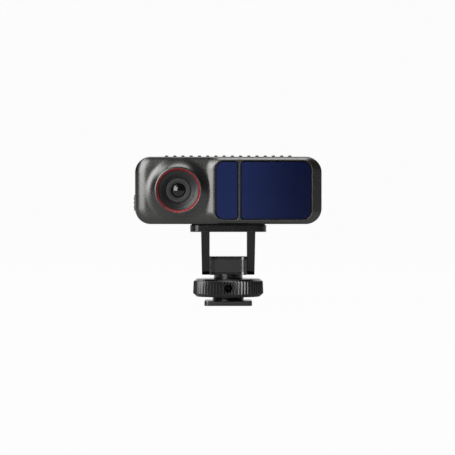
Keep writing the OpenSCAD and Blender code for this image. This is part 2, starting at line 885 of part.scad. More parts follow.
module lens_inner_glass() {
    glass_y = barrel_y + inner_glass_at;
    color(clear_glass) in_body() rod(lens_x, 0, light_r, glass_y, glass_y + inner_glass_t);
}

module lens_holder() {
    well = sensor_side + 2 * sensor_room;
    color(black_plastic) in_body() difference() {
        union() {
            rod(lens_x, 0, holder_r, holder_y, sensor_board_y);
            brick(lens_x, 0, holder_base, holder_base, sensor_board_y - holder_base_t, sensor_board_y);
        }
        rod(lens_x, 0, barrel_r, holder_y - cut, ledge_y);
        brick(lens_x, 0, well, well, holder_y, sensor_board_y + cut);
    }
}

module infrared_filter() {
    color(navy) in_body() rod(lens_x, 0, barrel_r - run_gap, filter_y, ledge_y);
}

module image_sensor() {
    color(chip_black) in_body() brick(lens_x, 0, sensor_side, sensor_side, chip_y, sensor_board_y);
}

module sensor_board() {
    color(board_green) in_body() difference() {
        brick(lens_x, 0, sensor_board_w, 2 * sensor_half, sensor_board_y, sensor_back_y);
        at_sensor_posts() rod(0, 0, small_screw_r + free_gap, sensor_board_y - cut, sensor_back_y + cut);
    }
}

module sensor_screws() {
    color(steel) in_body() at_sensor_posts()
        back_screw(
            small_screw_r, sensor_board_y - small_screw_bite, sensor_back_y, small_head_r, small_head_h
        );
}

module narrow_window() {
    color(navy) in_body() slab(front_y + glass_set, glass_t) narrow_outline(glass_gap);
}

module wide_window() {
    color(navy) in_body() slab(front_y + glass_set, glass_t) wide_outline(glass_gap);
}

module narrow_window_gasket() {
    color(rubber) in_body() slab(front_y + glass_set + glass_t, gasket_t) difference() {
        narrow_outline(glass_gap);
        narrow_outline(gasket_w);
    }
}

module wide_window_gasket() {
    color(rubber) in_body() slab(front_y + glass_set + glass_t, gasket_t) difference() {
        wide_outline(glass_gap);
        wide_outline(gasket_w);
    }
}

module laser_emitter() {
    color(chip_black) in_body() brick(narrow_x, 0, emitter_side, emitter_side, range_y - emitter_h, range_y);
}

module emitter_lens() {
    lens_y = range_y - emitter_h;
    color(clear_glass) in_body() rod(narrow_x, 0, emitter_lens_r, lens_y - emitter_lens_t, lens_y);
}

module receiver_barrel() {
    bore = receiver_r - receiver_wall;
    glass_y = range_y - receiver_len + receiver_glass_t;
    chip_room = range_chip_t + 2 * free_gap;
    color(black_plastic) in_body() difference() {
        rod(receiver_x, 0, receiver_r, range_y - receiver_len, range_y);
        rod(receiver_x, 0, bore, range_y - receiver_len - cut, glass_y);
        rod(receiver_x, 0, bore - receiver_step, glass_y - cut, range_y + cut);
        rod(receiver_x, 0, bore, range_y - chip_room, range_y + cut);
    }
}

module receiver_glass() {
    front = range_y - receiver_len;
    color(clear_glass) in_body() rod(
        receiver_x, 0, receiver_r - receiver_wall, front + free_gap, front + receiver_glass_t
    );
}

module range_sensor() {
    color(chip_black) in_body() brick(receiver_x, 0, range_chip, range_chip, range_y - range_chip_t, range_y);
}

module range_board() {
    color(board_green) in_body() difference() {
        brick((range_x0 + range_x1) / 2, 0, range_x1 - range_x0, range_h, range_y, range_back_y);
        at_spacers() rod(0, 0, small_screw_r + free_gap, range_y - cut, range_back_y + cut);
    }
}

// Screws that come from the front, through the range board into its spacers.
module range_screws() {
    color(steel) in_body() at_spacers() {
        rod(0, 0, small_screw_r, range_y, range_back_y + small_screw_bite);
        rod(0, 0, small_head_r, range_y - small_head_h, range_y);
    }
}

module board_spacers() {
    color(brass) in_body() at_spacers() difference() {
        rod(0, 0, spacer_r, range_back_y, board_y);
        rod(0, 0, small_screw_r, range_back_y - cut, board_y + cut);
    }
}

module board_connector() {
    color(chip_black) in_body() brick(connector_x, 0, connector_l, connector_w, range_back_y, board_y);
}

module main_board() {
    color(board_green) in_body() difference() {
        brick(0, 0, 2 * board_half_w, 2 * board_half_h, board_y, board_back_y);
        at_posts() rod(0, 0, post_r + post_gap, board_y - cut, board_back_y + cut);
        at_standoffs() rod(0, 0, small_screw_r + free_gap, board_y - cut, board_back_y + cut);
    }
}

// Screws that come from the front, through the main board into its standoffs.
module board_screws() {
    color(steel) in_body() at_standoffs() {
        rod(0, 0, small_screw_r, board_y, board_back_y + small_screw_bite);
        rod(0, 0, small_head_r, board_y - small_head_h, board_y);
    }
}

module processor() {
    color(chip_black) in_body()
        brick(0, processor_up, processor_side, processor_side, board_back_y, board_back_y + processor_t);
}

module memory_chips() {
    color(chip_black) in_body() for (side = [-1, 1])
        translate([0, 0, side * (memory_w + memory_gap) / 2])
            brick(memory_x, 0, memory_l, memory_w, board_back_y, board_back_y + memory_t);
}

module thermal_pad() {
    color(grey) in_body() brick(
        0, processor_up, processor_side, processor_side, board_back_y + processor_t, spreader_y
    );
}

module heat_spreader() {
    color(silver) in_body() brick(0, processor_up, spreader_w, spreader_h, spreader_y, back_wall_y);
}

// Flat cable that steps from the sensor board back to the main board.
module sensor_ribbon() {
    mid_y = (sensor_back_y + board_y) / 2;
    start_x = lens_x + ribbon_start;
    end_x = lens_x + ribbon_end;
    half = ribbon_t / 2;
    color(brass) in_body() translate([0, 0, -ribbon_w / 2]) linear_extrude(ribbon_w) polygon([
        [start_x - half, sensor_back_y],
        [start_x + half, sensor_back_y],
        [start_x + half, mid_y - half],
        [end_x + half, mid_y - half],
        [end_x + half, board_y],
        [end_x - half, board_y],
        [end_x - half, mid_y + half],
        [start_x - half, mid_y + half]
    ]);
}

module usb_socket() {
    end_y = rear_face_y - usb_set;
    color(steel) in_body() translate([usb_x, 0, -usb_drop]) difference() {
        slab(board_back_y, end_y - board_back_y) oval(usb_w, usb_h);
        slab(board_back_y + usb_back, end_y - board_back_y) oval(usb_w - 2 * usb_wall, usb_h - 2 * usb_wall);
    }
}

module usb_tongue() {
    tongue_y = board_back_y + usb_back;
    color(chip_black) in_body()
        brick(usb_x, -usb_drop, tongue_w, tongue_t, tongue_y, rear_face_y - usb_set - tongue_set);
}

// Button with a flange inside the wall and ridges across its face.
module side_button() {
    face_x = -side_x - button_out + ridge_h;
    ridge_gap = button_l / (ridge_count + 1);
    color(gunmetal) in_body() {
        bar(face_x, flange_x - face_x) button_outline(0);
        bar(flange_x, flange_t) button_outline(flange_w);
        for (i = [1:ridge_count])
            translate([face_x - ridge_h, button_y, i * ridge_gap - button_l / 2 - button_drop])
                translate([0, -ridge_l / 2, -ridge_t / 2]) cube([ridge_h + skin, ridge_l, ridge_t]);
    }
}

module button_seal() {
    color(rubber) in_body() bar(-inner_x - button_seal_d, button_seal_d) difference() {
        button_outline(button_seal_w);
        button_outline(button_gap);
    }
}

module button_switch() {
    color(chip_black) in_body() translate([switch_x, board_back_y, -button_drop - switch_l / 2])
        cube([switch_end_x - switch_x, switch_d, switch_l]);
}

module plate_pad() {
    color(rubber) translate([0, 0, pad_z]) difference() {
        linear_extrude(pad_t) plate_outline(pad_set);
        at_inserts() translate([0, 0, -cut]) cylinder(r = plate_screw_r + free_gap, h = pad_t + 2 * cut);
    }
}

// Side of a leg: straight from the plate to the round corners of its lower end.
module leg_side() {
    corner = [leg_end_r - leg_corner, pivot_z - leg_end_r + leg_corner];
    run = [leg_top_d / 2, plate_z + skin] - corner;
    a = atan2(run[1], run[0]) - acos(leg_corner / norm(run));
    touch = corner + leg_corner * [cos(a), sin(a)];
    half = [
        [leg_top_d / 2, plate_z + skin], touch, corner, [corner[0], corner[1] - leg_corner]
    ];
    polygon(concat(half, [for (i = [3:-1:0]) [-half[i][0], half[i][1]]]));
    for (side = [-1, 1]) translate([side * corner[0], corner[1]]) circle(leg_corner);
}

module leg_front() {
    leg_top_x = leg_gap / 2 + leg_top_t;
    for (side = [-1, 1]) scale([side, 1]) polygon([
        [leg_gap / 2, block_z - cut],
        [leg_low_x, block_z - cut],
        [leg_low_x, pivot_z + leg_end_r],
        [leg_top_x, plate_z + cut],
        [leg_gap / 2, plate_z + cut]
    ]);
}

// Flat-headed screw that points up, from its head's face at z = 0.
module flat_screw(r, flat_r, length) {
    cylinder(r1 = flat_r, r2 = r, h = flat_r - r);
    translate([0, 0, flat_r - r]) cylinder(r = r, h = length - flat_r + r);
}

module tilt_yoke() {
    head_x = tilt_face_x - tilt_set - tilt_head_h;
    color(black_metal) difference() {
        union() {
            translate([0, 0, plate_z]) linear_extrude(plate_t) plate_outline(0);
            intersection() {
                bar(-plate_w, 2 * plate_w) leg_side();
                slab(-plate_d, 2 * plate_d) leg_front();
            }
        }
        at_inserts() translate([0, 0, plate_z - free_gap])
            flat_screw(plate_screw_r + free_gap, plate_head_r + free_gap, plate_t + 3 * free_gap);
        translate([-plate_w, 0, pivot_z]) rotate([0, 90, 0]) cylinder(r = tilt_r, h = 2 * plate_w);
        translate([-plate_w, 0, pivot_z]) rotate([0, 90, 0])
            cylinder(r = tilt_head_r + free_gap, h = plate_w - head_x);
        translate([head_x, 0, pivot_z]) rotate([0, 90, 0])
            cylinder(d = (tilt_nut_w + free_gap) / cos(30), h = plate_w, $fn = 6);
    }
}

module plate_screws() {
    color(steel) at_inserts() translate([0, 0, plate_z]) difference() {
        flat_screw(plate_screw_r, plate_head_r, plate_screw_l);
        translate([0, 0, -cut]) cylinder(r = plate_head_r / 2, h = plate_screw_r, $fn = 6);
    }
}

module body_inserts() {
    color(brass) at_inserts() translate([0, 0, body_z]) difference() {
        cylinder(r = insert_r, h = insert_l);
        translate([0, 0, -cut]) cylinder(r = plate_screw_r, h = insert_l + 2 * cut);
    }
}

// Screw through both legs and the block, with its head in the left leg.
module tilt_screw() {
    head_x = tilt_face_x - tilt_set;
    color(steel) translate([0, 0, pivot_z]) rotate([0, 90, 0]) difference() {
        union() {
            translate([0, 0, -head_x]) cylinder(r = tilt_head_r, h = tilt_head_h);
            translate([0, 0, tilt_head_h - head_x]) cylinder(r = tilt_r, h = 2 * head_x - tilt_head_h);
        }
        translate([0, 0, -head_x - cut]) cylinder(r = tilt_r, h = tilt_head_h / 2 + cut, $fn = 6);
    }
}

module tilt_nut() {
    nut_x = tilt_face_x - tilt_set - tilt_head_h;
    color(steel) translate([nut_x, 0, pivot_z]) rotate([0, 90, 0]) difference() {
        cylinder(d = tilt_nut_w / cos(30), h = tilt_head_h, $fn = 6);
        translate([0, 0, -cut]) cylinder(r = tilt_r, h = tilt_head_h + 2 * cut);
    }
}

module friction_washers() {
    color(black_plastic) for (side = [-1, 1])
        translate([side * (friction_x + friction_t / 2), 0, pivot_z]) rotate([0, 90, 0]) difference() {
            cylinder(r = friction_r, h = friction_t, center = true);
            cylinder(r = tilt_r + run_gap, h = friction_t + 2 * cut, center = true);
        }
}

// Plan of the block: its front and rear are hollow between the ends beside the legs.
module block_plan() {
    x = block_w / 2;
    y = block_d / 2;
    a = x - panel_rim;
    b = a - panel_side;
    c = y - panel_d;
    polygon([
        [x, y], [a, y], [b, c], [-b, c], [-a, y], [-x, y],
        [-x, -y], [-a, -y], [-b, -c], [b, -c], [a, -y], [x, -y]
    ]);
}

module pivot_block() {
    color(black_metal) difference() {
        union() {
            translate([0, 0, block_z]) linear_extrude(block_h) block_plan();
            translate([0, 0, neck_z]) cylinder(r1 = neck_low_r, r2 = neck_top_r, h = neck_h);
        }
        translate([-block_w, 0, pivot_z]) rotate([0, 90, 0]) cylinder(r = tilt_r + run_gap, h = 2 * block_w);
        for (side = [-1, 1]) translate([0, 0, pivot_z]) rotate([0, side * 90, 0]) translate([0, 0, friction_x])
            cylinder(r = friction_r + free_gap, h = block_w);
        translate([0, 0, neck_z - cut]) cylinder(r = stud_r + run_gap, h = stud_top_z - neck_z + cut);
    }
}

// Stud with a flared neck on the foot, a groove for the washer's key and a threaded hole.
module foot_stud() {
    color(black_metal) difference() {
        union() {
            translate([0, 0, stud_z]) cylinder(r = stud_r, h = stud_top_z - stud_z);
            translate([0, 0, foot_t]) cylinder(r1 = foot_neck_r, r2 = washer_r, h = foot_neck_z - foot_t);
        }
        translate([-key_w / 2 - run_gap, stud_r - key_d - run_gap, foot_neck_z])
            cube([key_w + 2 * run_gap, 2 * key_d, neck_z - foot_neck_z]);
        translate([0, 0, stud_z - cut]) cylinder(r = foot_screw_r, h = foot_screw_l + cut);
    }
}

module shoe_foot() {
    color(black_metal) difference() {
        linear_extrude(foot_t) round_box(-foot_w / 2, foot_w / 2, foot_d, foot_r, foot_r);
        translate([0, 0, stud_z]) cylinder(r = stud_r, h = wheel_h);
        flat_screw(foot_screw_r + free_gap, foot_head_r + 2 * free_gap, wheel_h);
    }
}

module foot_screw() {
    color(steel) translate([0, 0, free_gap]) difference() {
        flat_screw(foot_screw_r, foot_head_r, stud_z + foot_screw_l - 2 * free_gap);
        translate([0, 0, -cut]) cylinder(r = foot_head_r / 2, h = foot_screw_r, $fn = 6);
    }
}

module clamp_washer() {
    color(steel) translate([0, 0, washer_z]) difference() {
        cylinder(r = washer_r, h = washer_t);
        difference() {
            translate([0, 0, -cut]) cylinder(r = thread_r, h = washer_t + 2 * cut);
            translate([-key_w / 2, stud_r - key_d, -2 * cut]) cube([key_w, 2 * key_d, washer_t + 4 * cut]);
        }
    }
}

// Wheel with V-shaped knurling, chamfered rims and a radial hole for a bar.
module lock_wheel() {
    pitch = 360 / knurl_count;
    knurl = [
        for (i = [0:knurl_count - 1], half = [0, 1])
            let (a = (i + half / 2) * pitch, r = wheel_r - half * knurl_d) [r * cos(a), r * sin(a)]
    ];
    color(black_metal) translate([0, 0, wheel_z]) difference() {
        intersection() {
            linear_extrude(wheel_h) polygon(knurl);
            rotate_extrude() polygon([
                [0, 0], [wheel_r - wheel_c_w, 0], [wheel_r + skin, wheel_c_h],
                [wheel_r + skin, wheel_h - wheel_c_h], [wheel_r - wheel_c_w, wheel_h], [0, wheel_h]
            ]);
        }
        translate([0, 0, -cut]) cylinder(r = wheel_insert_r, h = wheel_h + 2 * cut);
        translate([0, 0, wheel_h - recess_d]) cylinder(r = recess_r, h = recess_d + cut);
        translate([0, bar_hole_d - wheel_r, wheel_h / 2]) rotate([90, 0, 0])
            cylinder(r = bar_hole_r, h = wheel_r);
    }
}

module wheel_insert() {
    color(brass) translate([0, 0, wheel_z]) difference() {
        cylinder(r = wheel_insert_r, h = wheel_h - recess_d);
        translate([0, 0, -cut]) cylinder(r = thread_r, h = wheel_h);
    }
}

front_shell();
rear_shell();
housing_seal();
housing_screws();
lens_ring();
lens_bezel();
lens_barrel();
lens_front_glass();
lens_inner_glass();
lens_holder();
infrared_filter();
image_sensor();
sensor_board();
sensor_screws();
narrow_window();
wide_window();
narrow_window_gasket();
wide_window_gasket();
laser_emitter();
emitter_lens();
receiver_barrel();
receiver_glass();
range_sensor();
range_board();
range_screws();
board_spacers();
board_connector();
main_board();
board_screws();
processor();
memory_chips();
thermal_pad();
heat_spreader();
sensor_ribbon();
usb_socket();
usb_tongue();
side_button();
button_seal();
button_switch();
plate_pad();
tilt_yoke();
plate_screws();
body_inserts();
tilt_screw();
tilt_nut();
friction_washers();
pivot_block();
foot_stud();
shoe_foot();
foot_screw();
clamp_washer();
lock_wheel();
wheel_insert();
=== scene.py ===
import json
import math

import bmesh
import bpy
import numpy as np
from bpy.props import FloatProperty, FloatVectorProperty, IntProperty, PointerProperty
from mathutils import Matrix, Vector


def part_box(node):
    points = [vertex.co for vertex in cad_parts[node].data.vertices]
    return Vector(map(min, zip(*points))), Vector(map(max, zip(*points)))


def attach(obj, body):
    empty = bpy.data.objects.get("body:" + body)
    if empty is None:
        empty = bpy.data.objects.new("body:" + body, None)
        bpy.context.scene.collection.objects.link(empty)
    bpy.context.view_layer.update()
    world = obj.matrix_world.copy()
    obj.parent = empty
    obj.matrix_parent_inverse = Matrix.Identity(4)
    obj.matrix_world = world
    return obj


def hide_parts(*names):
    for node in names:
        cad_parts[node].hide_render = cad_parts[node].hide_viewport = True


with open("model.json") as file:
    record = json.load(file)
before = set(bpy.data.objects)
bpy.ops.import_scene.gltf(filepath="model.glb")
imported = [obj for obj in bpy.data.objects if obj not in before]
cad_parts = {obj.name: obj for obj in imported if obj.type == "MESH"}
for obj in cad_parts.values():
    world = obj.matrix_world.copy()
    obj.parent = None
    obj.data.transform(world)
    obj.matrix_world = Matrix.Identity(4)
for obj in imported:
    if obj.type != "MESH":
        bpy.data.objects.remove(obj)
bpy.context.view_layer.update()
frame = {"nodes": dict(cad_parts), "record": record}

bl_info = {
    "name": "Action camera on a shoe mount",
    "version": (1, 0, 0),
    "blender": (4, 5, 0),
    "location": "View3D > Sidebar > Camera",
    "description": "Dresses the camera's CAD frame: casing, lens, windows, bracket, wheel and foot",
    "category": "Add Mesh",
}

MM = 0.001
QUARTER = math.pi / 2
# Points closer than this are merged, and a point this near an outline lies on it.
WELD = 0.0005 * MM
NEAR = 0.0001 * MM
# Least length that anything is divided by.
TINY = 1e-12
# Edges that turn by more than this stay sharp.
SHARP = math.radians(34)
# Narrow row beside a rounded edge, which keeps the flats flat.
HOLD = 0.06 * MM


def span(node):
    """Lowest and highest corner of a CAD node, in metres."""
    low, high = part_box(node)
    return np.array(low), np.array(high)


# Places that the frame gives: the body, its seam, the lens axis, the windows and the mount.
SHELL_LOW, SHELL_HIGH = span("front_shell")
SEAL_LOW, SEAL_HIGH = span("housing_seal")
RING_LOW, RING_HIGH = span("lens_ring")
BARREL_LOW, BARREL_HIGH = span("lens_barrel")
GLASS_LOW, GLASS_HIGH = span("lens_front_glass")
NARROW_LOW, NARROW_HIGH = span("narrow_window")
WIDE_LOW, WIDE_HIGH = span("wide_window")
YOKE_LOW, YOKE_HIGH = span("tilt_yoke")
BLOCK_LOW, BLOCK_HIGH = span("pivot_block")
WHEEL_LOW, WHEEL_HIGH = span("lock_wheel")
FOOT_LOW, FOOT_HIGH = span("shoe_foot")
SOCKET_LOW, SOCKET_HIGH = span("usb_socket")
BUTTON_LOW, BUTTON_HIGH = span("side_button")
HEADS_LOW, HEADS_HIGH = span("housing_screws")
TILT_LOW, TILT_HIGH = span("tilt_screw")
INSERT_LOW, INSERT_HIGH = span("wheel_insert")
STUD_LOW, STUD_HIGH = span("foot_stud")
WASHER_LOW, WASHER_HIGH = span("clamp_washer")
FRICTION_X = span("friction_washers")[1][0]
SIDE_X = SHELL_HIGH[0]
HALF_H = (SHELL_HIGH[2] - SHELL_LOW[2]) / 2
MID_Z = (SHELL_HIGH[2] + SHELL_LOW[2]) / 2
RIM_Y = SHELL_LOW[1]
SEAM_Y = SEAL_LOW[1]
REAR_Y = SEAL_HIGH[1]
LENS_X = (RING_LOW[0] + RING_HIGH[0]) / 2
RING_R = (RING_HIGH[0] - RING_LOW[0]) / 2
PIVOT_Z = (TILT_LOW[2] + TILT_HIGH[2]) / 2
# Depth of the cone's seat in the casing behind the collar's rim.
SEAT_Y = RIM_Y + 4.4 * MM
# Flange of the side button inside the casing.
FLANGE = 0.5 * MM
# Rows (inset, level, wear) of the casings' small rounded edges at the seam, in millimetres.
SEAM_EDGE = ((.25, 0, 0), (.15, 0, 1), (.045, .045, 1), (0, .15, 1), (0, .2, 0))


def linear(code):
    """Linear colour of an sRGB hex code: c / 12.92 below 0.04045, else ((c + 0.055) / 1.055) ^ 2.4."""
    c = np.array([int(code[i:i + 2], 16) for i in (0, 2, 4)]) / 255
    return tuple(np.where(c <= 0.04045, c / 12.92, ((c + 0.055) / 1.055) ** 2.4))


def length(name, description, size):
    """Length property with its default in millimetres."""
    return FloatProperty(name=name, description=description, default=size * MM, unit="LENGTH", precision=5)


def power(name, description, watts):
    """Power property of a lamp, with its default in watts."""
    return FloatProperty(name=name, description=description, default=watts, unit="POWER")


def colour(name, description, code):
    """Colour property with its default as an sRGB hex code."""
    return FloatVectorProperty(name=name, description=description, default=linear(code), subtype="COLOR",
                               size=3)


class CasingSettings(bpy.types.PropertyGroup):
    """Sizes and colour of the two casing shells."""
    corner_r: length("Corner radius", "Corner radius of the body seen from the front", 6.1)
    side_round: length("Side rounding", "Width of the rounding of the left edge beside the lens", 4.6)
    side_drop: length("Side drop", "Depth of that rounding", 2.3)
    top_round: length("Top rounding", "Width of the rounding of the edges above and below the lens", 4.2)
    top_drop: length("Top drop", "Depth of that rounding", 1.0)
    crown: length("Crown", "Radius of the face's slight crown from top to bottom", 400)
    lens_floor: length("Lens floor", "Depth of the face round the lens behind the window frame", 0.42)
    roof: length("Hollow", "Depth of the hollow behind the window frame", 3.8)
    bevel_side: length("Side bevel", "Width of the bevel at the right end", 3.5)
    bevel_top: length("Top bevel", "Width of the bevels above and below the windows", 1.3)
    bevel_depth: length("Bevel depth", "Depth of the bevel at the right end and of the ramp at the left", 0.6)
    bevel_steep: FloatProperty(name="Bevel slope", default=0.85,
                               description="Slope of the bevels above and below the windows")
    ramp: length("Ramp", "Width of the ramp from the window frame down to the lens", 2)
    land: length("Land", "Flat land between a window and the bevel", 0.3)
    ease: length("Easing", "Easing of the crease between the land and the bevel", 0.12)
    ramp_ease: length("Ramp easing", "Easing of that crease at the left, above the ramp to the lens", 1.4)
    narrow_r: length("Narrow corner", "Corner radius at the narrow window's left end", 3.3)
    divider_r: length("Divider corner", "Corner radius of the windows beside the bar between them", 1.4)
    wide_r: length("Wide corner", "Corner radius at the wide window's right end", 3.6)
    glass_gap: length("Glass gap", "Gap round the windows", 0.1)
    glass_set: length("Glass step", "Step of the windows behind their frame", 0.15)
    pocket: length("Pocket depth", "Depth of the windows' pockets", 1.65)
    collar_foot: length("Collar foot", "Radius at which the collar's slope begins", 12.9)
    collar_rim: length("Collar rim", "Wall of the collar round the red ring", 0.5)
    lip: length("Lip", "Rounding of the edges of the pockets and of the bore", 0.13)
    wall: length("Wall", "Wall of both shells", 1.8)
    rear_round: length("Rear rounding", "Rounding of the edges at the back", 2.5)
    rear_y: length("Rear face", "Place of the rear face behind the middle", 13)
    rib_count: IntProperty(name="Ribs", default=16,
                           description="Number of ribs over the top and down the back")
    rib_pitch: length("Rib pitch", "Distance from one rib to the next", 3.2)
    rib_w: length("Rib width", "Width of a rib", 1.3)
    rib_h: length("Rib height", "Height of a rib", 0.7)
    rib_start: length("Rib start", "Gap from the seam to the ribs", 1)
    rib_drop: length("Rib end", "Depth below the middle of the back at which the ribs end", 1.5)
    metal: colour("Metal", "Blasted gunmetal of the casing", "626261")
    worn: colour("Edges", "Edges where the finish is thin", "6c6c6b")


class LensSettings(bpy.types.PropertyGroup):
    """Sizes and colours of the lens."""
    ring_w: length("Ring width", "Width of the red ring's funnel", 0.75)
    funnel: length("Funnel", "Depth of the red ring's funnel", 0.8)
    step_r: length("Step radius", "Radius of the step in the black cone", 6.3)
    throat_r: length("Throat", "Radius of the throat round the barrel", 4.95)
    red: colour("Red", "Red anodised ring", "b13138")
    black: colour("Black", "Moulded black cone", "2f2f2f")
    grey: colour("Grey", "Turned face of the barrel", "3a3a3a")
    glass: colour("Glass", "Coated front element", "07080b")


class WindowSettings(bpy.types.PropertyGroup):
    """Sizes and colours of the two infrared windows."""
    mask: length("Mask", "Width of the black mask along the windows' edges", 0.42)
    edge: length("Edge", "Rounding of the windows' front edges", 0.12)
    # The blue and the dark blue paint the windows' light and shade: lit blue at the left, painted darker
    # towards the right.
    blue: colour("Blue", "Infrared window on its bright side", "1f2b58")
    dark: colour("Dark", "Infrared window on its dark side", "0b1436")
    black: colour("Black", "Mask printed behind the windows' edges", "06060a")


class MountSettings(bpy.types.PropertyGroup):
    """Sizes and colours of the bracket, the wheel and the foot."""
    plate_r: length("Plate corner", "Corner radius of the plate", 3.6)
    plate_t: length("Plate", "Thickness of the plate", 2.65)
    edge: length("Edge", "Rounding of the bracket's edges", 0.2)
    leg_gap: length("Leg gap", "Distance between the legs", 14.5)
    leg_top_t: length("Leg top", "Thickness of a leg at the plate", 3.3)
    leg_low_t: length("Leg foot", "Thickness of a leg at its lower end", 3)
    leg_top_d: length("Leg depth", "Depth of a leg at the plate", 13)
    leg_end: length("Leg end", "Half depth of a leg's lower end", 3.6)
    leg_corner: length("Leg corner", "Radius of the corners at a leg's lower end", 1.9)
    panel_rim: length("Block rim", "Rim of the block beside its hollows", 0.2)
    panel_side: length("Slopes", "Width of the hollows' slopes", 1.9)
    panel_d: length("Hollows", "Depth of the block's front and rear hollows", 1)
    panel_top: length("Block top", "Rounding of the hollows' upper edge", 0.6)
    panel_low: length("Block ramp", "Height of the slight ramp along the hollows' lower edge", 1.1)
    panel_out: length("Block ramp depth", "Depth of that ramp", 0.18)
    block_low: length("Block foot", "Height of the block over the ground", 11.9)
    neck_r: length("Neck", "Radius of the neck under the block", 5.6)
    disc_r: length("Disc", "Radius of the disc under the wheel", 6.1)
    knurl_count: IntProperty(name="Knurling", description="Ridges round the wheel", default=66)
    knurl_d: length("Knurl depth", "Depth of the knurling", 0.6)
    taper: FloatProperty(name="Taper", description="Slope of the wheel's rim to the top", default=0.045)
    wheel_c_w: length("Rim width", "Width of the wheel's chamfers", 1.5)
    wheel_c_h: length("Rim height", "Height of the wheel's chamfers", 1.35)
    recess_r: length("Recess", "Radius of the recess in the wheel's top", 6.1)
    recess_d: length("Recess depth", "Depth of the recess in the wheel's top", 1.6)
    bar_r: length("Bar hole", "Radius of the hole for a bar", 1.4)
    bar_d: length("Bar hole depth", "Depth of the hole for a bar", 5.5)
    foot_r: length("Foot corner", "Corner radius of the foot", 1.6)
    black: colour("Bracket", "Black anodised yoke", "444444")
    wheel_black: colour("Wheel", "Black anodised wheel", "505050")
    # Partly painted light: the block and the foot take a paler copy of the bracket's black, standing for the
    # light that falls on them.
    block_black: colour("Block and foot", "Black anodised block and foot", "606060")
    # Painted shade: this deeper black stands partly for the shade under the block and the wheel.
    shaded_neck_black: colour("Neck and disc", "Deep black of the neck, the stud and the disc", "262626")
    worn: colour("Edges", "Edges where the black is thin", "7c7c7c")


class StageSettings(bpy.types.PropertyGroup):
    """Camera, lamps and floor."""
    distance: FloatProperty(name="Distance", description="Distance of the camera", default=0.8, unit="LENGTH")
    elevation: FloatProperty(name="Elevation", description="Height angle of the camera",
                             default=math.radians(0.3), subtype="ANGLE")
    focal: FloatProperty(name="Focal length", description="Focal length of the camera in mm", default=161.8)
    aim: FloatVectorProperty(name="Aim", description="Point in the middle of the picture",
                             default=(-0.00028, -0.013, 0.0304), subtype="TRANSLATION", size=3)
    strip: power("Strip", "Power of the softbox at the left", 19.5)
    upper: power("Upper", "Power of the softbox at the upper left", 6.0)
    high: power("Overhead", "Power of the softbox over the object", 13.5)
    rear: power("Rear", "Power of the softbox behind the object", 1.4)
    sky: FloatProperty(name="Room", description="Strength of the room's light", default=0.05)
    pale: colour("Floor", "Pale floor and backdrop", "b4b4b4")


def quads(rows, columns, closed=True):
    """Quads of a grid of rows by columns of points; closed joins the last column to the first."""
    i, j = np.meshgrid(np.arange(rows - 1), np.arange(columns if closed else columns - 1), indexing="ij")
    here, beside = i * columns + j, i * columns + (j + 1) % columns
    return np.stack([here, beside, beside + columns, here + columns], -1).reshape(-1, 4)


def tube(rows, columns):
    """Faces of a grid that is closed round its columns, with a cap at each end."""
    ends = [list(range(start, start + columns)) for start in (0, (rows - 1) * columns)]
    return quads(rows, columns).tolist() + ends


def part(points, faces, wear=0.0):
    """Points, faces and edge wear of one closed form, as make_mesh joins them."""
    points = np.asarray(points, float).reshape(-1, 3)
    return points, faces, np.broadcast_to(np.ravel(wear).astype(float), (len(points),))


def make_mesh(name, parts):
    """Mesh of several forms: points are stacked, doubles merged and faces turned outwards."""
    starts = np.cumsum([0] + [len(points) for points, _, _ in parts])
    faces = [[v + start for v in face] for (_, group, _), start in zip(parts, starts) for face in group]
    mesh = bpy.data.meshes.new(name)
    mesh.from_pydata(np.concatenate([points for points, _, _ in parts]).tolist(), [], faces)
    layer = mesh.attributes.new("wear", "FLOAT", "POINT")
    layer.data.foreach_set("value", np.concatenate([wear for _, _, wear in parts]).astype(np.float32))
    shape = bmesh.new()
    shape.from_mesh(mesh)
    bmesh.ops.remove_doubles(shape, verts=shape.verts, dist=WELD)
    bmesh.ops.recalc_face_normals(shape, faces=shape.faces)
    shape.to_mesh(mesh)
    shape.free()
    return mesh


def carve(mesh, cutters):
    """Mesh with the cutters' solids taken out of it by the exact boolean."""
    solid = bpy.data.objects.new("solid", mesh)
    tool = bpy.data.objects.new("tool", make_mesh("tool", cutters))
    for thing in (solid, tool):
        bpy.context.scene.collection.objects.link(thing)
    step = solid.modifiers.new("carve", "BOOLEAN")
    step.operation, step.solver, step.object = "DIFFERENCE", "EXACT", tool
    made = bpy.data.meshes.new_from_object(solid.evaluated_get(bpy.context.evaluated_depsgraph_get()))
    for thing in (solid, tool):
        old = thing.data
        bpy.data.objects.remove(thing)
        bpy.data.meshes.remove(old)
    return made


def join_meshes(name, meshes):
    """One mesh from several."""
    shape = bmesh.new()
    for mesh in meshes:
        shape.from_mesh(mesh)
    made = bpy.data.meshes.new(name)
    shape.to_mesh(made)
    shape.free()
    return made


def place(name, mesh, finish, body, node, slot=None):
    """Object for a finished mesh, riding on its body in place of its CAD node.

    Its material slot holds the material of its finish. The slot argument is not used."""
    mesh.name = name
    mesh.materials.clear()
    mesh.materials.append(MATERIALS[finish])
    mesh.shade_smooth()
    mesh.set_sharp_from_angle(angle=SHARP)
    piece = bpy.data.objects.new(name, mesh)
    bpy.context.scene.collection.objects.link(piece)
    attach(piece, body)
    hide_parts(node)


def build(name, forms, *where):
    """Piece that is made of closed forms; where goes on to place."""
    place(name, make_mesh(name, forms), *where)


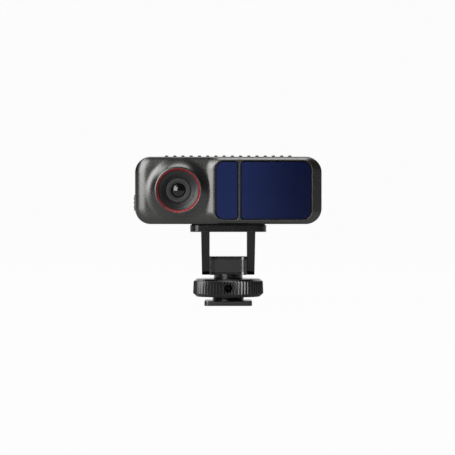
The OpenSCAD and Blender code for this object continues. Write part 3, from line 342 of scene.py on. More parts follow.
def round_rect(low, high, radii, inset=0.0, arc=14):
    """Outline of a rectangle with rounded corners, moved inwards by inset.

    A corner is centre + (r - inset)(cos a, sin a) over a quarter turn, or a point once its radius is used
    up. The radii are those of the lower left, lower right, upper right and upper left corner."""
    r = np.maximum(np.broadcast_to(radii, 4), inset)
    centre_u = np.array([low[0] + r[0], high[0] - r[1], high[0] - r[2], low[0] + r[3]])[:, None]
    centre_v = np.array([low[1] + r[0], low[1] + r[1], high[1] - r[2], high[1] - r[3]])[:, None]
    turn = np.radians([180, 270, 0, 90])[:, None] + np.linspace(0, QUARTER, arc)
    left = (r - inset)[:, None]
    u, v = centre_u + left * np.cos(turn), centre_v + left * np.sin(turn)
    return np.column_stack([u.ravel(), v.ravel()])


def quarter(r, steps=5):
    """Quarter round as (inset, drop) from the side to the top: r (1 - cos a) and r (1 - sin a)."""
    return [(r * (1 - math.cos(a)), r * (1 - math.sin(a))) for a in np.linspace(0, QUARTER, steps + 1)]


def edge_rows(low, high, r_low, r_high):
    """Rows (inset, level, wear) of a wall that ends in quarter rounds, with a narrow row beside each."""
    rows = [(r_low + HOLD, low, 0)]
    rows += [(inset, low + drop, 1) for inset, drop in quarter(r_low)[::-1]]
    rows += [(0, low + r_low + HOLD, 0), (0, high - r_high - HOLD, 0)]
    rows += [(inset, high - drop, 1) for inset, drop in quarter(r_high)]
    return rows + [(r_high + HOLD, high, 0)]


def slab(low, high, radii, rows, axes, arc=14):
    """Closed form: a rectangle with rounded corners stands at each row's level, moved inwards by its inset.

    axes picks x, y and z out of the rectangle's two coordinates (0, 1) and the level (2)."""
    rings = [round_rect(low, high, radii, inset, arc) for inset, _, _ in rows]
    n = len(rings[0])
    levels, wear = (np.repeat([row[k] for row in rows], n) for k in (1, 2))
    points = np.column_stack([np.concatenate(rings), levels])
    return part(points[:, axes], tube(len(rows), n), wear)


def lathe(profile, centre, axis, turns, wear=None, radius=None):
    """Turned form: the profile's (r, h) goes to centre + r (cos a, sin a) across the axis and to h along it.

    radius, if given, reshapes the radii over the grid of profile points and angles."""
    profile = np.asarray(profile, float)
    rows = len(profile)
    a = np.linspace(0, 2 * math.pi, turns, endpoint=False)
    r = np.repeat(profile[:, :1], turns, 1) if radius is None else radius(profile, a)
    h = np.repeat(profile[:, 1:2], turns, 1)
    u, v = centre[0] + r * np.cos(a), centre[1] + r * np.sin(a)
    points = np.stack({"X": (h, u, v), "Y": (u, h, v), "Z": (u, v, h)}[axis], -1)
    shut = np.allclose(profile[0], profile[-1])
    faces = quads(rows, turns).tolist() if shut else tube(rows, turns)
    wear = np.zeros(rows) if wear is None else np.asarray(wear, float)
    return part(points, faces, np.repeat(wear, turns))


def rounded(corners, r, steps=4):
    """Closed profile whose corners are rounded, and 1 on the arcs for wear.

    Each corner c becomes a quadratic arc between the points r before and r after it, p = (1 - t)^2 a +
    2t(1 - t) c + t^2 b. An arc takes at most a share of the shorter side."""
    share = 0.45
    c = np.asarray(corners, float)
    back, ahead = np.roll(c, 1, 0) - c, np.roll(c, -1, 0) - c
    back_l, ahead_l = (np.linalg.norm(way, axis=1)[:, None] for way in (back, ahead))
    limit = np.minimum(np.broadcast_to(r, len(c))[:, None], share * np.minimum(back_l, ahead_l))
    a, b = c + back / back_l * limit, c + ahead / ahead_l * limit
    t = np.linspace(0, 1, steps + 1)[None, :, None]
    arcs = (1 - t) ** 2 * a[:, None] + 2 * t * (1 - t) * c[:, None] + t ** 2 * b[:, None]
    sharp = np.repeat(limit[:, 0] < TINY, steps + 1)
    keep = ~sharp | (np.arange(len(sharp)) % (steps + 1) == 0)
    points, wear = arcs.reshape(-1, 2)[keep], (~sharp[keep]).astype(float)
    return np.vstack([points, points[:1]]), np.r_[wear, wear[:1]]


def smooth_max(a, b, k):
    """Larger of a and b, with the crease rounded by (k - |a - b|)^2 / 4k within a band k."""
    return np.maximum(a, b) + np.maximum(k - np.abs(a - b), 0) ** 2 / (4 * k)


def add(tree, kind, sockets=None, **settings):
    """Adds a node with its settings; a socket is set to a value or linked to another node's output."""
    made = tree.nodes.new(kind)
    for key, value in settings.items():
        setattr(made, key, value)
    for key, value in (sockets or {}).items():
        if isinstance(value, bpy.types.NodeSocket):
            tree.links.new(value, made.inputs[key])
        else:
            made.inputs[key].default_value = value
    return made


def blank(name):
    """Empty material with its node tree, and the Object coordinates that its patterns use."""
    material = bpy.data.materials.new(name)
    material.use_nodes = True
    tree = material.node_tree
    tree.nodes.clear()
    return material, tree, add(tree, "ShaderNodeTexCoord").outputs["Object"]


def per(size):
    """Noise scale for a feature of that size in millimetres."""
    return 1 / (size * MM)


def rgba(value, tone=1.0):
    """Colour times a tone, with full opacity."""
    return (*(np.array(value) * tone), 1.0)


def noise(tree, where, size, detail):
    """Noise with features of that size in millimetres."""
    return add(tree, "ShaderNodeTexNoise", {"Vector": where, "Scale": per(size), "Detail": detail}).outputs[0]


def mix(tree, share, a, b, **settings):
    """Colour a, with that share of colour b."""
    return add(tree, "ShaderNodeMix", {0: share, 6: a, 7: b}, data_type="RGBA", **settings).outputs[2]


def calc(tree, operation, *values):
    """Result of a sum on values or outputs."""
    return add(tree, "ShaderNodeMath", dict(enumerate(values)), operation=operation).outputs[0]


def remap(tree, value, given, wanted=(0, 1), **settings):
    """Value whose given range is moved to the wanted one."""
    ends = zip(("From Min", "From Max", "To Min", "To Max"), (*given, *wanted))
    return add(tree, "ShaderNodeMapRange", {"Value": value, **dict(ends)}, **settings).outputs[0]


def principled(tree, sockets):
    """Principled shader with these sockets, as the material's surface."""
    shader = add(tree, "ShaderNodeBsdfPrincipled", sockets).outputs[0]
    add(tree, "ShaderNodeOutputMaterial", {"Surface": shader})


def metal_finish(name, base, worn, metallic, roughness, grit, depth, tone, spread=0.07, coat=0.0):
    """Blasted, moulded or satin finish.

    A broad noise and one of the grit's size vary the tone, and the fine one also the roughness and the bump.
    The wear attribute lets the paler edge through where a third noise breaks it up. Sizes are in mm."""
    patch, rub_size = 9, 1.6
    grain_band, rub_band, rub_share = (0.3, 0.7), (0.45, 0.75), (0.1, 0.75)
    material, tree, where = blank(name)
    fine = noise(tree, where, grit, 4.0)
    shade = mix(tree, noise(tree, where, patch, 3.0), rgba(base, 1 - tone), rgba(base, 1 + tone))
    speck = remap(tree, fine, grain_band, (1 - tone, 1 + tone))
    grain = mix(tree, 1.0, shade, speck, blend_type="MULTIPLY")
    edge = add(tree, "ShaderNodeAttribute", attribute_name="wear").outputs["Fac"]
    thin = remap(tree, noise(tree, where, rub_size, 5.0), rub_band, rub_share)
    final = mix(tree, calc(tree, "MULTIPLY", edge, thin), grain, rgba(worn))
    rough = remap(tree, fine, grain_band, (roughness - spread, roughness + spread))
    bump = add(tree, "ShaderNodeBump", {"Strength": 0.2, "Distance": depth * MM, "Height": fine}).outputs[0]
    principled(tree, {"Base Color": final, "Metallic": metallic, "Roughness": rough, "Normal": bump,
                      "Coat Weight": coat, "Coat Roughness": 0.3})
    return material


def lens_barrel_finish(base):
    """Turned and anodised aluminium: rings round the lens axis, coarser than real turning marks so that they
    show. A wave's phase runs 20 times as fast as its scaled coordinate, so they are 2 pi x 0.14 mm apart."""
    ring, wave_rate, haze = 0.14, 20, 0.2
    material, tree, where = blank("turned_grey_aluminium")
    moved = add(tree, "ShaderNodeMapping", {"Vector": where, "Location": (-LENS_X, 0, -MID_Z)}).outputs[0]
    rings = add(tree, "ShaderNodeTexWave", {"Vector": moved, "Scale": per(ring * wave_rate),
                                            "Distortion": 0.4, "Detail": 1.0},
                wave_type="RINGS", rings_direction="Y").outputs[1]
    tone = mix(tree, rings, rgba(base, 0.85), rgba(base, 1.15))
    rough = remap(tree, noise(tree, where, haze, 3.0), (0, 1), (0.38, 0.55))
    bump = add(tree, "ShaderNodeBump", {"Strength": 0.2, "Distance": 0.01 * MM, "Height": rings}).outputs[0]
    principled(tree, {"Base Color": tone, "Metallic": 0.3, "Roughness": rough, "Normal": bump})
    return material


def glass_finish(name, base, tint):
    """Coated optical glass: near black from the front, with a painted sheen of the coating's tint towards the
    rim.
    """
    hazy = 1.5
    material, tree, where = blank(name)
    # Painted sheen: the base colour turns to the coating's tint where the glass faces away from the view,
    # standing in for the coating's reflection.
    facing = add(tree, "ShaderNodeLayerWeight", {"Blend": 0.35}).outputs["Facing"]
    tone = mix(tree, facing, rgba(base), rgba(tint))
    rough = remap(tree, noise(tree, where, hazy, 2.0), (0, 1), (0.024, 0.064))
    principled(tree, {"Base Color": tone, "Roughness": rough, "IOR": 1.6, "Coat Weight": 0.3,
                      "Coat Roughness": 0.02})
    return material


def window_finish(s):
    """Infrared acrylic over a blue-black coating: deep navy with painted shade that darkens it towards the
    right, a near-black printed mask along the edge, faint moulding haze, and a hard gloss."""
    cloudy, hazy, drift = 14, 0.5, 6 * MM
    lit_x, shaded_x, mask_band = 4 * MM, 34 * MM, (0.35, 0.65)
    material, tree, where = blank("infrared_acrylic")
    across = add(tree, "ShaderNodeSeparateXYZ", {0: where}).outputs[0]
    place_x = calc(tree, "MULTIPLY_ADD", noise(tree, where, cloudy, 2.0), drift, across)
    # Painted shade: the navy fades from its lit blue at the left to a darker blue towards the right.
    fade = remap(tree, place_x, (lit_x, shaded_x), interpolation_type="SMOOTHSTEP")
    deep = mix(tree, fade, rgba(s.blue), rgba(s.dark))
    inset = add(tree, "ShaderNodeAttribute", attribute_name="wear").outputs["Fac"]
    tone = mix(tree, remap(tree, inset, mask_band), deep, rgba(s.black))
    rough = remap(tree, noise(tree, where, hazy, 2.0), (0, 1), (0.1, 0.2))
    principled(tree, {"Base Color": tone, "Roughness": rough, "IOR": 1.45, "Specular IOR Level": 0.4})
    return material


def body_distance(x, z, r):
    """Distance inside the body's rounded outline, and how far the nearest edge is a side (1) or a top (0)."""
    qx, qz = np.abs(x) - (SIDE_X - r), np.abs(z) - (HALF_H - r)
    out = np.hypot(np.maximum(qx, 0), np.maximum(qz, 0))
    corner = (qx > 0) & (qz > 0)
    side = np.where(corner, (qx / np.maximum(out, TINY)) ** 2, (qx > qz).astype(float))
    return r - out - np.minimum(np.maximum(qx, qz), 0), side


def frame_fall(x, z, s):
    """Fall of the window frame below its land.

    The distance d outside the land's rounded outline is eased, d^2 / 2w up to w and d - w / 2 beyond, and
    times a slope. The slope goes over from that of the ends to that of the top and bottom as the square of
    the direction. At the left end, where the frame runs down to the lens as a ramp, easing and slope are its
    own."""
    left = NARROW_LOW[0] - s.glass_gap - s.land
    right = WIDE_HIGH[0] + s.glass_gap + s.land
    mid = (left + right) / 2
    r = np.where(x < mid, s.narrow_r, s.wide_r) + s.land
    qx = np.maximum(np.abs(x - mid) - (right - left) / 2 + r, 0)
    qz = np.maximum(np.abs(z) - HALF_H + s.bevel_top + r, 0)
    out = np.hypot(qx, qz)
    d = np.maximum(out - r, 0)
    side = (qx / np.maximum(out, TINY)) ** 2
    ease = s.ease + (s.ramp_ease - s.ease) * np.where(x < mid, side, 0)
    slope = side * s.bevel_depth / np.where(x < mid, s.ramp, s.bevel_side) + (1 - side) * s.bevel_steep
    return np.where(d < ease, d * d / (2 * ease), d - ease / 2) * slope


def casing_front(x, z, s):
    """Y of the casing's front at (x, z), z from the middle of the body.

    Height = smooth max of the lens face with its collar and of the window frame. The lens face has a slight
    crown z^2 / 2R and an elliptic edge, d(1 - sqrt(1 - p^2)). The collar adds a parabola from its foot to its
    rim, and the window frame ends in a small quarter round."""
    collar_band, frame_band, soft = 0.2 * MM, 0.4 * MM, 0.5 * MM
    front = -NARROW_LOW[1] + s.glass_set
    inside, side = body_distance(x, z, s.corner_r)
    width = side * s.side_round + (1 - side) * s.top_round
    drop = side * s.side_drop + (1 - side) * s.top_drop
    p = np.clip(1 - inside / width, 0, 1)
    face = front - s.lens_floor - drop * (1 - np.sqrt(1 - p * p)) - z * z / (2 * s.crown)
    rise = -RIM_Y - front + s.lens_floor
    u = np.maximum(s.collar_foot - np.hypot(x - LENS_X, z), 0) / (s.collar_foot - RING_R - s.collar_rim)
    collar = -smooth_max(-rise * u * u, -rise, collar_band)
    q = np.clip(1 - inside / soft, 0, 1)
    land = front - frame_fall(x, z, s) - soft * (1 - np.sqrt(1 - q * q))
    return -smooth_max(face + np.maximum(collar, 0), land, frame_band)


def window_hole(border, low, high, r_left, r_right, inset):
    """Nearest points on a window's outline, moved inwards by inset, to points outside it."""
    x0, x1 = low[0] + inset, high[0] - inset
    h = (high[2] - low[2]) / 2 - inset
    rl, rr = max(r_left - inset, 0), max(r_right - inset, 0)
    x, z = border.T
    up = np.abs(z)
    flat = (x > x0 + rl - TINY) & (x < x1 - rr + TINY)
    px = np.where(flat, x, np.where(x < (x0 + x1) / 2, x0, x1))
    pz = np.where(flat, h, up)
    for cx, r, way in ((x0 + rl, rl, -1), (x1 - rr, rr, 1)):
        dx, dz = x - cx, up - (h - r)
        size = np.maximum(np.hypot(dx, dz), TINY)
        corner = (way * dx > 0) & (dz > 0)
        px = np.where(corner, cx + dx / size * r, px)
        pz = np.where(corner, h - r + dz / size * r, pz)
    return np.column_stack([px, pz * np.where(z < 0, -1, 1)])


def lens_hole(border, r):
    """Points at radius r from the lens axis on the way to each border point."""
    away = border - (LENS_X, 0)
    return (LENS_X, 0) + away / np.linalg.norm(away, axis=1)[:, None] * r


def inside_wall(border, s):
    """Border points moved in by the wall: along the outline's normal, or upright on a split line."""
    x, z = border.T
    qx = np.maximum(np.abs(x) - (SIDE_X - s.corner_r), 0)
    qz = np.maximum(np.abs(z) - (HALF_H - s.corner_r), 0)
    size = np.maximum(np.hypot(qx, qz), TINY)
    edge = np.abs(size - s.corner_r) < NEAR
    out = np.column_stack([x - np.sign(x) * (qx / size) * s.wall, z - np.sign(z) * (qz / size) * s.wall])
    return np.where(edge[:, None], out, np.column_stack([x, z * (1 - s.wall / HALF_H)]))


def zone(border, hole, inner, near, far, s):
    """One zone of the casing's front between an opening and its border.

    Column u runs from hole(u) straight to border(u). Its rows are near's offsets from the hole, three rows
    between, and far's distances from the border, all scaled down where the way is short. The lip rounds the
    hole's edge by e - sqrt(e^2 - (e - s)^2). inner gives the rows behind the hole as (points, y)."""
    lip, worn, way = s.lip, 1.5 * s.lip, border - hole
    size = np.linalg.norm(way, axis=1)
    share = np.minimum(1, size / (near[-1] + far[0]))
    first, last = near[:, None] * share, size - far[:, None] * share
    mid = first[-1] + np.array([0.25, 0.5, 0.75])[:, None] * (last[0] - first[-1])
    run = np.concatenate([first, mid, last])
    grid = hole + way / size[:, None] * run[..., None]
    d = np.clip(lip - run, 0, lip)
    y = casing_front(grid[..., 0], grid[..., 1], s) + lip - np.sqrt(lip * lip - d * d)
    rows = np.stack([grid[..., 0], y, grid[..., 1] + MID_Z], -1)
    back = [body_row(points, level) for points, level in inner]
    wear = np.concatenate([np.zeros((len(back), len(border))), (run < worn) * 1.0])
    rows = np.concatenate([np.array(back), rows])
    return part(rows, quads(*rows.shape[:2]).tolist(), wear)


def body_row(points, y):
    """Row of points (x, z), z from the middle of the body, at y."""
    return np.column_stack([points[:, 0], np.broadcast_to(y, (len(points),)), points[:, 1] + MID_Z])


def line(a, b, step):
    """Evenly spaced points from a to b, without b."""
    a, b = np.array(a, float), np.array(b, float)
    n = max(2, round(float(np.linalg.norm(b - a)) / step))
    return a + (b - a) * (np.arange(n) / n)[:, None]


def corner_points(centre, r, start):
    """Points of a quarter turn from start, in degrees, without the last."""
    n = 24
    a = np.radians(start) + np.arange(n) / n * QUARTER
    return np.array(centre) + r * np.column_stack([np.cos(a), np.sin(a)])


# Rows across the casing's front in millimetres: offsets from an opening, and distances from the outer edge.
LENS_NEAR = (0, .03, .06, .09, .13, .2, .35, .5, .65, .8, 1, 1.25, 1.5, 1.75, 2, 2.25, 2.5, 2.75, 3, 3.3, 3.6)
LENS_FAR = (5, 4.2, 3.6, 3, 2.5, 2, 1.6, 1.25, .95, .7, .5, .34, .22, .13, .06, .02, 0)
WINDOW_NEAR = (0, .03, .06, .09, .13, .18, .24, .3, .36, .44, .55)
WINDOW_FAR = (1, .85, .7, .55, .42, .3, .2, .12, .06, .02, 0)


class CAMERA_OT_front_casing(bpy.types.Operator):
    """Builds the front casing with its collar, ramp, bevels, window pockets and lens bore"""
    bl_idname = "camera_part.front_casing"
    bl_label = "Front casing"

    def execute(self, context):
        s = context.scene.part_casing
        step, fine, gasket, split_gap = 0.3 * MM, 0.2 * MM, 1.0 * MM, 1.4 * MM
        boss_d, bore_in = 6.2 * MM, 3.4 * MM
        r, w, h = s.corner_r, SIDE_X - s.corner_r, HALF_H - s.corner_r
        split_a = NARROW_LOW[0] - split_gap
        split_b = (NARROW_HIGH[0] + WIDE_LOW[0]) / 2

        def level(x0, x1, z, gap):
            return line((x0, z), (x1, z), gap)

        def upright(x, z0, z1, gap):
            return line((x, z0), (x, z1), gap)

        down_l, down_w = level(-w, split_a, -HALF_H, step), level(split_b, w, -HALF_H, step)
        up_l, up_w = level(split_a, -w, HALF_H, step), level(w, split_b, HALF_H, step)
        down_n, up_n = level(split_a, split_b, -HALF_H, fine), level(split_b, split_a, HALF_H, fine)
        rise_a, rise_b = (upright(x, -HALF_H, HALF_H, fine) for x in (split_a, split_b))
        fall_a, fall_b = (upright(x, HALF_H, -HALF_H, fine) for x in (split_a, split_b))
        left = [corner_points((-w, h), r, 90), upright(-SIDE_X, h, -h, step), corner_points((-w, -h), r, 180)]
        right = [corner_points((w, -h), r, 270), upright(SIDE_X, -h, h, step), corner_points((w, h), r, 0)]
        front = NARROW_LOW[1] - s.glass_set
        roof, floor = front + s.roof, front + s.pocket
        rear, bore, boss = RIM_Y + boss_d, RING_R - bore_in, RING_R + s.wall
        border = np.concatenate([down_l, rise_a, up_l, *left])
        inner = [(inside_wall(border, s), roof)]
        inner += [(lens_hole(border, radius), y) for radius, y in (
            (boss, roof), (boss, rear), (bore, rear), (bore, SEAT_Y), (RING_R, SEAT_Y))]
        near, far = np.array(LENS_NEAR) * MM, np.array(LENS_FAR) * MM
        parts = [zone(border, lens_hole(border, RING_R), inner, near, far, s)]
        near, far = np.array(WINDOW_NEAR) * MM, np.array(WINDOW_FAR) * MM
        for low, high, r_l, r_r, around in (
            (NARROW_LOW, NARROW_HIGH, s.narrow_r, s.divider_r, [down_n, rise_b, up_n, fall_a]),
            (WIDE_LOW, WIDE_HIGH, s.divider_r, s.wide_r, [down_w, *right, up_w, fall_b]),
        ):
            border = np.concatenate(around)
            low, high = low - s.glass_gap, high + s.glass_gap
            hole, ledge = (window_hole(border, low, high, r_l, r_r, inset) for inset in (0, gasket))
            inner = [(inside_wall(border, s), roof), (ledge, roof), (ledge, floor), (hole, floor)]
            parts.append(zone(border, hole, inner, near, far, s))
        rim = np.concatenate([down_l, down_n, down_w, *right, up_w, up_n, up_l, *left])
        inset = inside_wall(rim, s)
        lean = (rim - inset) / s.wall
        seam = [(inset, roof, 0), (inset, SEAM_Y, 0)]
        seam += [(rim - lean * c * MM, SEAM_Y - d * MM, worn) for c, d, worn in SEAM_EDGE]
        seam += [(rim, casing_front(*rim.T, s), 0)]
        rows = np.array([body_row(points, y) for points, y, _ in seam])
        wear = np.repeat([worn for _, _, worn in seam], len(rim))
        parts.append(part(rows, quads(*rows.shape[:2]).tolist(), wear))
        build("front_casing", parts, "gunmetal_case", "head", "front_shell")
        return {"FINISHED"}


def rib_bars(s):
    """Ribs over the top and down the back.

    A rounded bar profile is carried along a path of a straight, a quarter turn and a straight. Its height
    sinks in a quarter circle at both ends."""
    on_top, on_back, rub = 40, 30, 0.6
    end_l, soft, sink = 0.55 * MM, 0.34 * MM, 0.35 * MM
    start, turn_y, turn_z = REAR_Y + s.rib_start, s.rear_y - s.rear_round, HALF_H - s.rear_round
    a = np.linspace(QUARTER, 0, 13)
    turn = np.column_stack([np.cos(a), np.sin(a)])
    path = np.concatenate([
        np.column_stack([np.linspace(start, turn_y, on_top, endpoint=False), np.full(on_top, HALF_H)]),
        (turn_y, turn_z) + s.rear_round * turn,
        np.column_stack([np.full(on_back, s.rear_y), np.linspace(turn_z, -s.rib_drop, on_back + 1)[1:]]),
    ])
    out = np.concatenate([np.tile([0.0, 1.0], (on_top, 1)), turn, np.tile([1.0, 0.0], (on_back, 1))])
    gone = np.concatenate([[0], np.cumsum(np.linalg.norm(np.diff(path, axis=0), axis=1))])
    ends = np.clip(np.minimum(gone, gone[-1] - gone) / end_l, 0, 1)
    rise = np.sqrt(1 - (1 - ends) ** 2)
    half = s.rib_w / 2
    b = np.linspace(0, QUARTER, 6)
    arc = (half - soft, s.rib_h - soft) + soft * np.column_stack([np.cos(b), np.sin(b)])
    side = np.concatenate([[[half, 0.0]], arc])
    profile = np.concatenate([side, side[::-1] * (-1, 1)])
    across = np.r_[profile[:, 0], -half, half]
    height = np.column_stack([np.outer(rise, profile[:, 1]), np.full((len(path), 2), -sink)])
    n = len(across)
    yz = path[:, None] + out[:, None] * height[..., None]
    wear = np.tile(np.r_[0, np.ones(n - 4), 0, 0, 0] * rub, len(path))
    bars = []
    for k in range(s.rib_count):
        x = (k - (s.rib_count - 1) / 2) * s.rib_pitch
        points = np.stack([np.broadcast_to(x + across, yz.shape[:2]), yz[..., 0], yz[..., 1] + MID_Z], -1)
        bars.append(part(points, tube(len(path), n), wear))
    return bars


class CAMERA_OT_rear_casing(bpy.types.Operator):
    """Builds the rear casing with its rounded back, ribs, screw holes, socket and button openings"""
    bl_idname = "camera_part.rear_casing"
    bl_label = "Rear casing"

    def execute(self, context):
        s = context.scene.part_casing
        over, free, hold, rub = 0.3 * MM, 0.1 * MM, 0.1 * MM, 0.15
        head_r, head_d, head_bevel, slot_bevel = 1.75 * MM, 1.7 * MM, 0.2 * MM, 0.25 * MM
        back, mouth = s.rear_y - s.wall, s.rear_y + over
        rows = [(s.wall, back, 0), (s.wall, REAR_Y, 0)]
        rows += [(c * MM, REAR_Y + d * MM, worn) for c, d, worn in SEAM_EDGE]
        rows += [(0, s.rear_y - s.rear_round - hold, 0)]
        rows += [(inset, s.rear_y - drop, rub) for inset, drop in quarter(s.rear_round, 10)]
        rows += [(s.rear_round + hold, s.rear_y, 0)]
        low, high = (-SIDE_X, MID_Z - HALF_H), (SIDE_X, MID_Z + HALF_H)
        shell = make_mesh("rear_casing", [slab(low, high, s.corner_r, rows, [0, 2, 1], arc=24)])
        floor, hole, rim = s.rear_y - head_d, head_r + free, head_r + free + head_bevel
        profile = [(0, floor), (hole, floor), (hole, s.rear_y - head_bevel), (rim, s.rear_y), (rim, mouth),
                   (0, mouth)]
        cutters = [lathe(profile, (x, z), "Y", turns=48)
                   for x in (HEADS_LOW[0] + head_r, HEADS_HIGH[0] - head_r)
                   for z in (HEADS_LOW[2] + head_r, HEADS_HIGH[2] - head_r)]
        low, high = SOCKET_LOW[[0, 2]] - free, SOCKET_HIGH[[0, 2]] + free
        rows = [(0, back - over, 0), (0, s.rear_y - slot_bevel, 0), (-slot_bevel, s.rear_y, 0),
                (-slot_bevel, mouth, 0)]
        cutters.append(slab(low, high, (high[1] - low[1]) / 2, rows, [0, 2, 1]))
        low, high = BUTTON_LOW[1:] + FLANGE - free, BUTTON_HIGH[1:] - FLANGE + free
        rows = [(0, -SIDE_X - over, 0), (0, -SIDE_X + s.wall + over, 0)]
        cutters.append(slab(low, high, (high[0] - low[0]) / 2, rows, [2, 0, 1]))
        mesh = join_meshes("rear_casing", [carve(shell, cutters), make_mesh("ribs", rib_bars(s))])
        place("rear_casing", mesh, "gunmetal_case", "head", "rear_shell")
        return {"FINISHED"}


class CAMERA_OT_lens(bpy.types.Operator):
    """Builds the red ring, the black stepped cone, the barrel's face and the domed front element"""
    bl_idname = "camera_part.lens"
    bl_label = "Lens"

    def execute(self, context):
        s = context.scene.part_lens
        centre = (LENS_X, MID_Z)
        ring_y, cone_y = RING_LOW[1], RING_HIGH[1]
        inner = RING_R - s.ring_w
        ring_edge, ring_soft = 0.12 * MM, 0.1 * MM
        profile, wear = rounded([
            (RING_R, ring_y), (RING_R, cone_y), (inner, cone_y), (inner, ring_y + s.funnel),
            (RING_R - ring_edge, ring_y)], ring_soft)
        build("red_ring", [lathe(profile, centre, "Y", 192, wear)], "red_metal", "head", "lens_ring")

        # Baffles climb from the throat to the step. Each is a flat and a slope, set as shares of the width.
        baffles, climb, flat, dip, rub = 5, 1.5 * MM, 0.13, 0.03, 0.25
        throat, soft = cone_y + 1.9 * MM, 0.06 * MM
        step_d, rim_d, rim_w = 0.4 * MM, 0.32 * MM, 0.15 * MM
        width = s.step_r - s.throat_r
        steps = [(RING_R, cone_y), (RING_R, SEAT_Y), (s.throat_r, SEAT_Y), (s.throat_r, throat)]
        for k in range(baffles):
            f, g = k / baffles, (k + 1) / baffles
            steps += [(s.throat_r + width * (f + flat), throat - climb * f),
                      (s.throat_r + width * (g - dip), throat - climb * g)]
        steps += [(s.step_r, cone_y + step_d), (s.step_r + rim_w, cone_y + rim_d), (inner, cone_y)]
        profile, wear = rounded(steps, soft, 2)
        cone = lathe(profile, centre, "Y", 160, wear * rub)
        build("lens_cone", [cone], "lens_black", "head", "lens_bezel")

        # The barrel's face has a conical mouth round the glass, a sunk land and a raised rim.
        mouth_d, mouth_w, land_d, land_w, rim_w = 0.35 * MM, 0.3 * MM, 0.12 * MM, 0.62 * MM, 0.68 * MM
        bevel, light_r = 0.12 * MM, 2.2 * MM
        outer, face, end = (BARREL_HIGH[0] - BARREL_LOW[0]) / 2, BARREL_LOW[1], BARREL_HIGH[1]
        hole, glass_back = (GLASS_HIGH[0] - GLASS_LOW[0]) / 2, GLASS_HIGH[1]
        profile, wear = rounded([
            (hole, glass_back), (hole, face + mouth_d), (hole + mouth_w, face + land_d),
            (hole + land_w, face + land_d), (hole + rim_w, face), (outer - bevel, face),
            (outer, face + bevel), (outer, end), (light_r, end), (light_r, glass_back)], soft, 3)
        build("lens_tube", [lathe(profile, centre, "Y", 160, wear)], "lens_grey", "head", "lens_barrel")

        # The front element is a cap of a ball, with its flat back just before the barrel's seat.
        dome, rest = 0.9 * MM, GLASS_HIGH[1] - 0.02 * MM
        ball = (hole ** 2 + dome ** 2) / (2 * dome)
        a = np.linspace(0, math.asin(hole / ball), 24)
        cap = np.column_stack([ball * np.sin(a), face + ball * (1 - np.cos(a))])
        profile = np.concatenate([cap, [[hole, rest], [0, rest]]])
        build("front_element", [lathe(profile, centre, "Y", 96)], "lens_glass", "head", "lens_front_glass")
        return {"FINISHED"}


class CAMERA_OT_windows(bpy.types.Operator):
    """Builds the two infrared windows with rounded edges and a printed mask"""
    bl_idname = "camera_part.windows"
    bl_label = "Windows"

    def execute(self, context):
        s, c = context.scene.part_windows, context.scene.part_casing
        clear, fade, land = 0.25 * MM, 0.08 * MM, 0.05 * MM
        for name, node, low, high, r_l, r_r in (
            ("narrow_glass", "narrow_window", NARROW_LOW, NARROW_HIGH, c.narrow_r, c.divider_r),
            ("wide_glass", "wide_window", WIDE_LOW, WIDE_HIGH, c.divider_r, c.wide_r),
        ):
            radii = np.array([r_l, r_r, r_r, r_l]) - c.glass_gap
            front = low[1]
            rows = [(s.mask + clear, front, 0), (s.mask, front, 0.1), (s.mask - fade, front, 1),
                    (s.edge + land, front, 1)]
            rows += [(inset, front + drop, 1) for inset, drop in quarter(s.edge)[::-1]]
            rows += [(0, high[1], 1)]
            glass = slab(low[[0, 2]], high[[0, 2]], radii, rows, [0, 2, 1], arc=20)
            build(name, [glass], "window_glass", "head", node)
        return {"FINISHED"}


class CAMERA_OT_button(bpy.types.Operator):
    """Builds the side button with its rounded ridges"""
    bl_idname = "camera_part.button"
    bl_label = "Button"

    def execute(self, context):
        flange_t, edge, sharp = 0.8 * MM, 0.28 * MM, 0.01 * MM
        ridge_h, ridge_sink, ridge_edge, ridge_r = 0.2 * MM, 0.2 * MM, 0.19 * MM, 0.35 * MM
        ridge_half = np.array([1.6, 0.8]) * MM / 2
        low, high = BUTTON_LOW[1:] + FLANGE, BUTTON_HIGH[1:] - FLANGE
        face, back = BUTTON_LOW[0] + ridge_h, BUTTON_HIGH[0] - flange_t
        rows = edge_rows(face, back, edge, sharp)
        rows += [(-FLANGE, back, 0), (-FLANGE, BUTTON_HIGH[0], 0)]
        parts = [slab(low, high, (high[0] - low[0]) / 2, rows, [2, 0, 1])]
        gap = (high[1] - low[1]) / 4
        rows = edge_rows(BUTTON_LOW[0], face + ridge_sink, ridge_edge, sharp)
        for k in (-1, 0, 1):
            mid = (low + high) / 2 + (0, k * gap)
            parts.append(slab(mid - ridge_half, mid + ridge_half, ridge_r, rows, [2, 0, 1], arc=8))
        build("button_cap", parts, "gunmetal_case", "button", "side_button")
        return {"FINISHED"}


def leg_outline(s):
    """Side view of a leg and its normals: straight edges from the plate touch its end's round corners."""
    sunk = 0.2 * MM
    top, r = YOKE_HIGH[2] - s.plate_t + sunk, s.leg_corner
    half, y, z = s.leg_top_d / 2, s.leg_end - r, PIVOT_Z - s.leg_end + r
    a = math.atan2(top - z, half - y) - math.acos(r / math.hypot(half - y, top - z))
    turn = np.linspace(a, -QUARTER, 17)
    arc = np.column_stack([np.cos(turn), np.sin(turn)])
    right = np.concatenate([[[half, top]], (y, z) + r * arc])
    normals = np.concatenate([arc[:1], arc])
    return tuple(np.concatenate([half_view, half_view[::-1] * (-1, 1)]) for half_view in (right, normals))


def hexagon(profile, a, bore):
    """Radii of a bore whose wider rows are hexagons with a corner on top.

    A hexagon's radius is R cos 30 / cos(((a + 30) mod 60) - 30), in degrees."""
    sixth = math.pi / 3
    side = math.cos(sixth / 2) / np.cos((a + sixth / 2) % sixth - sixth / 2)
    r = profile[:, :1]
    return np.where(r > bore, r * side, r)


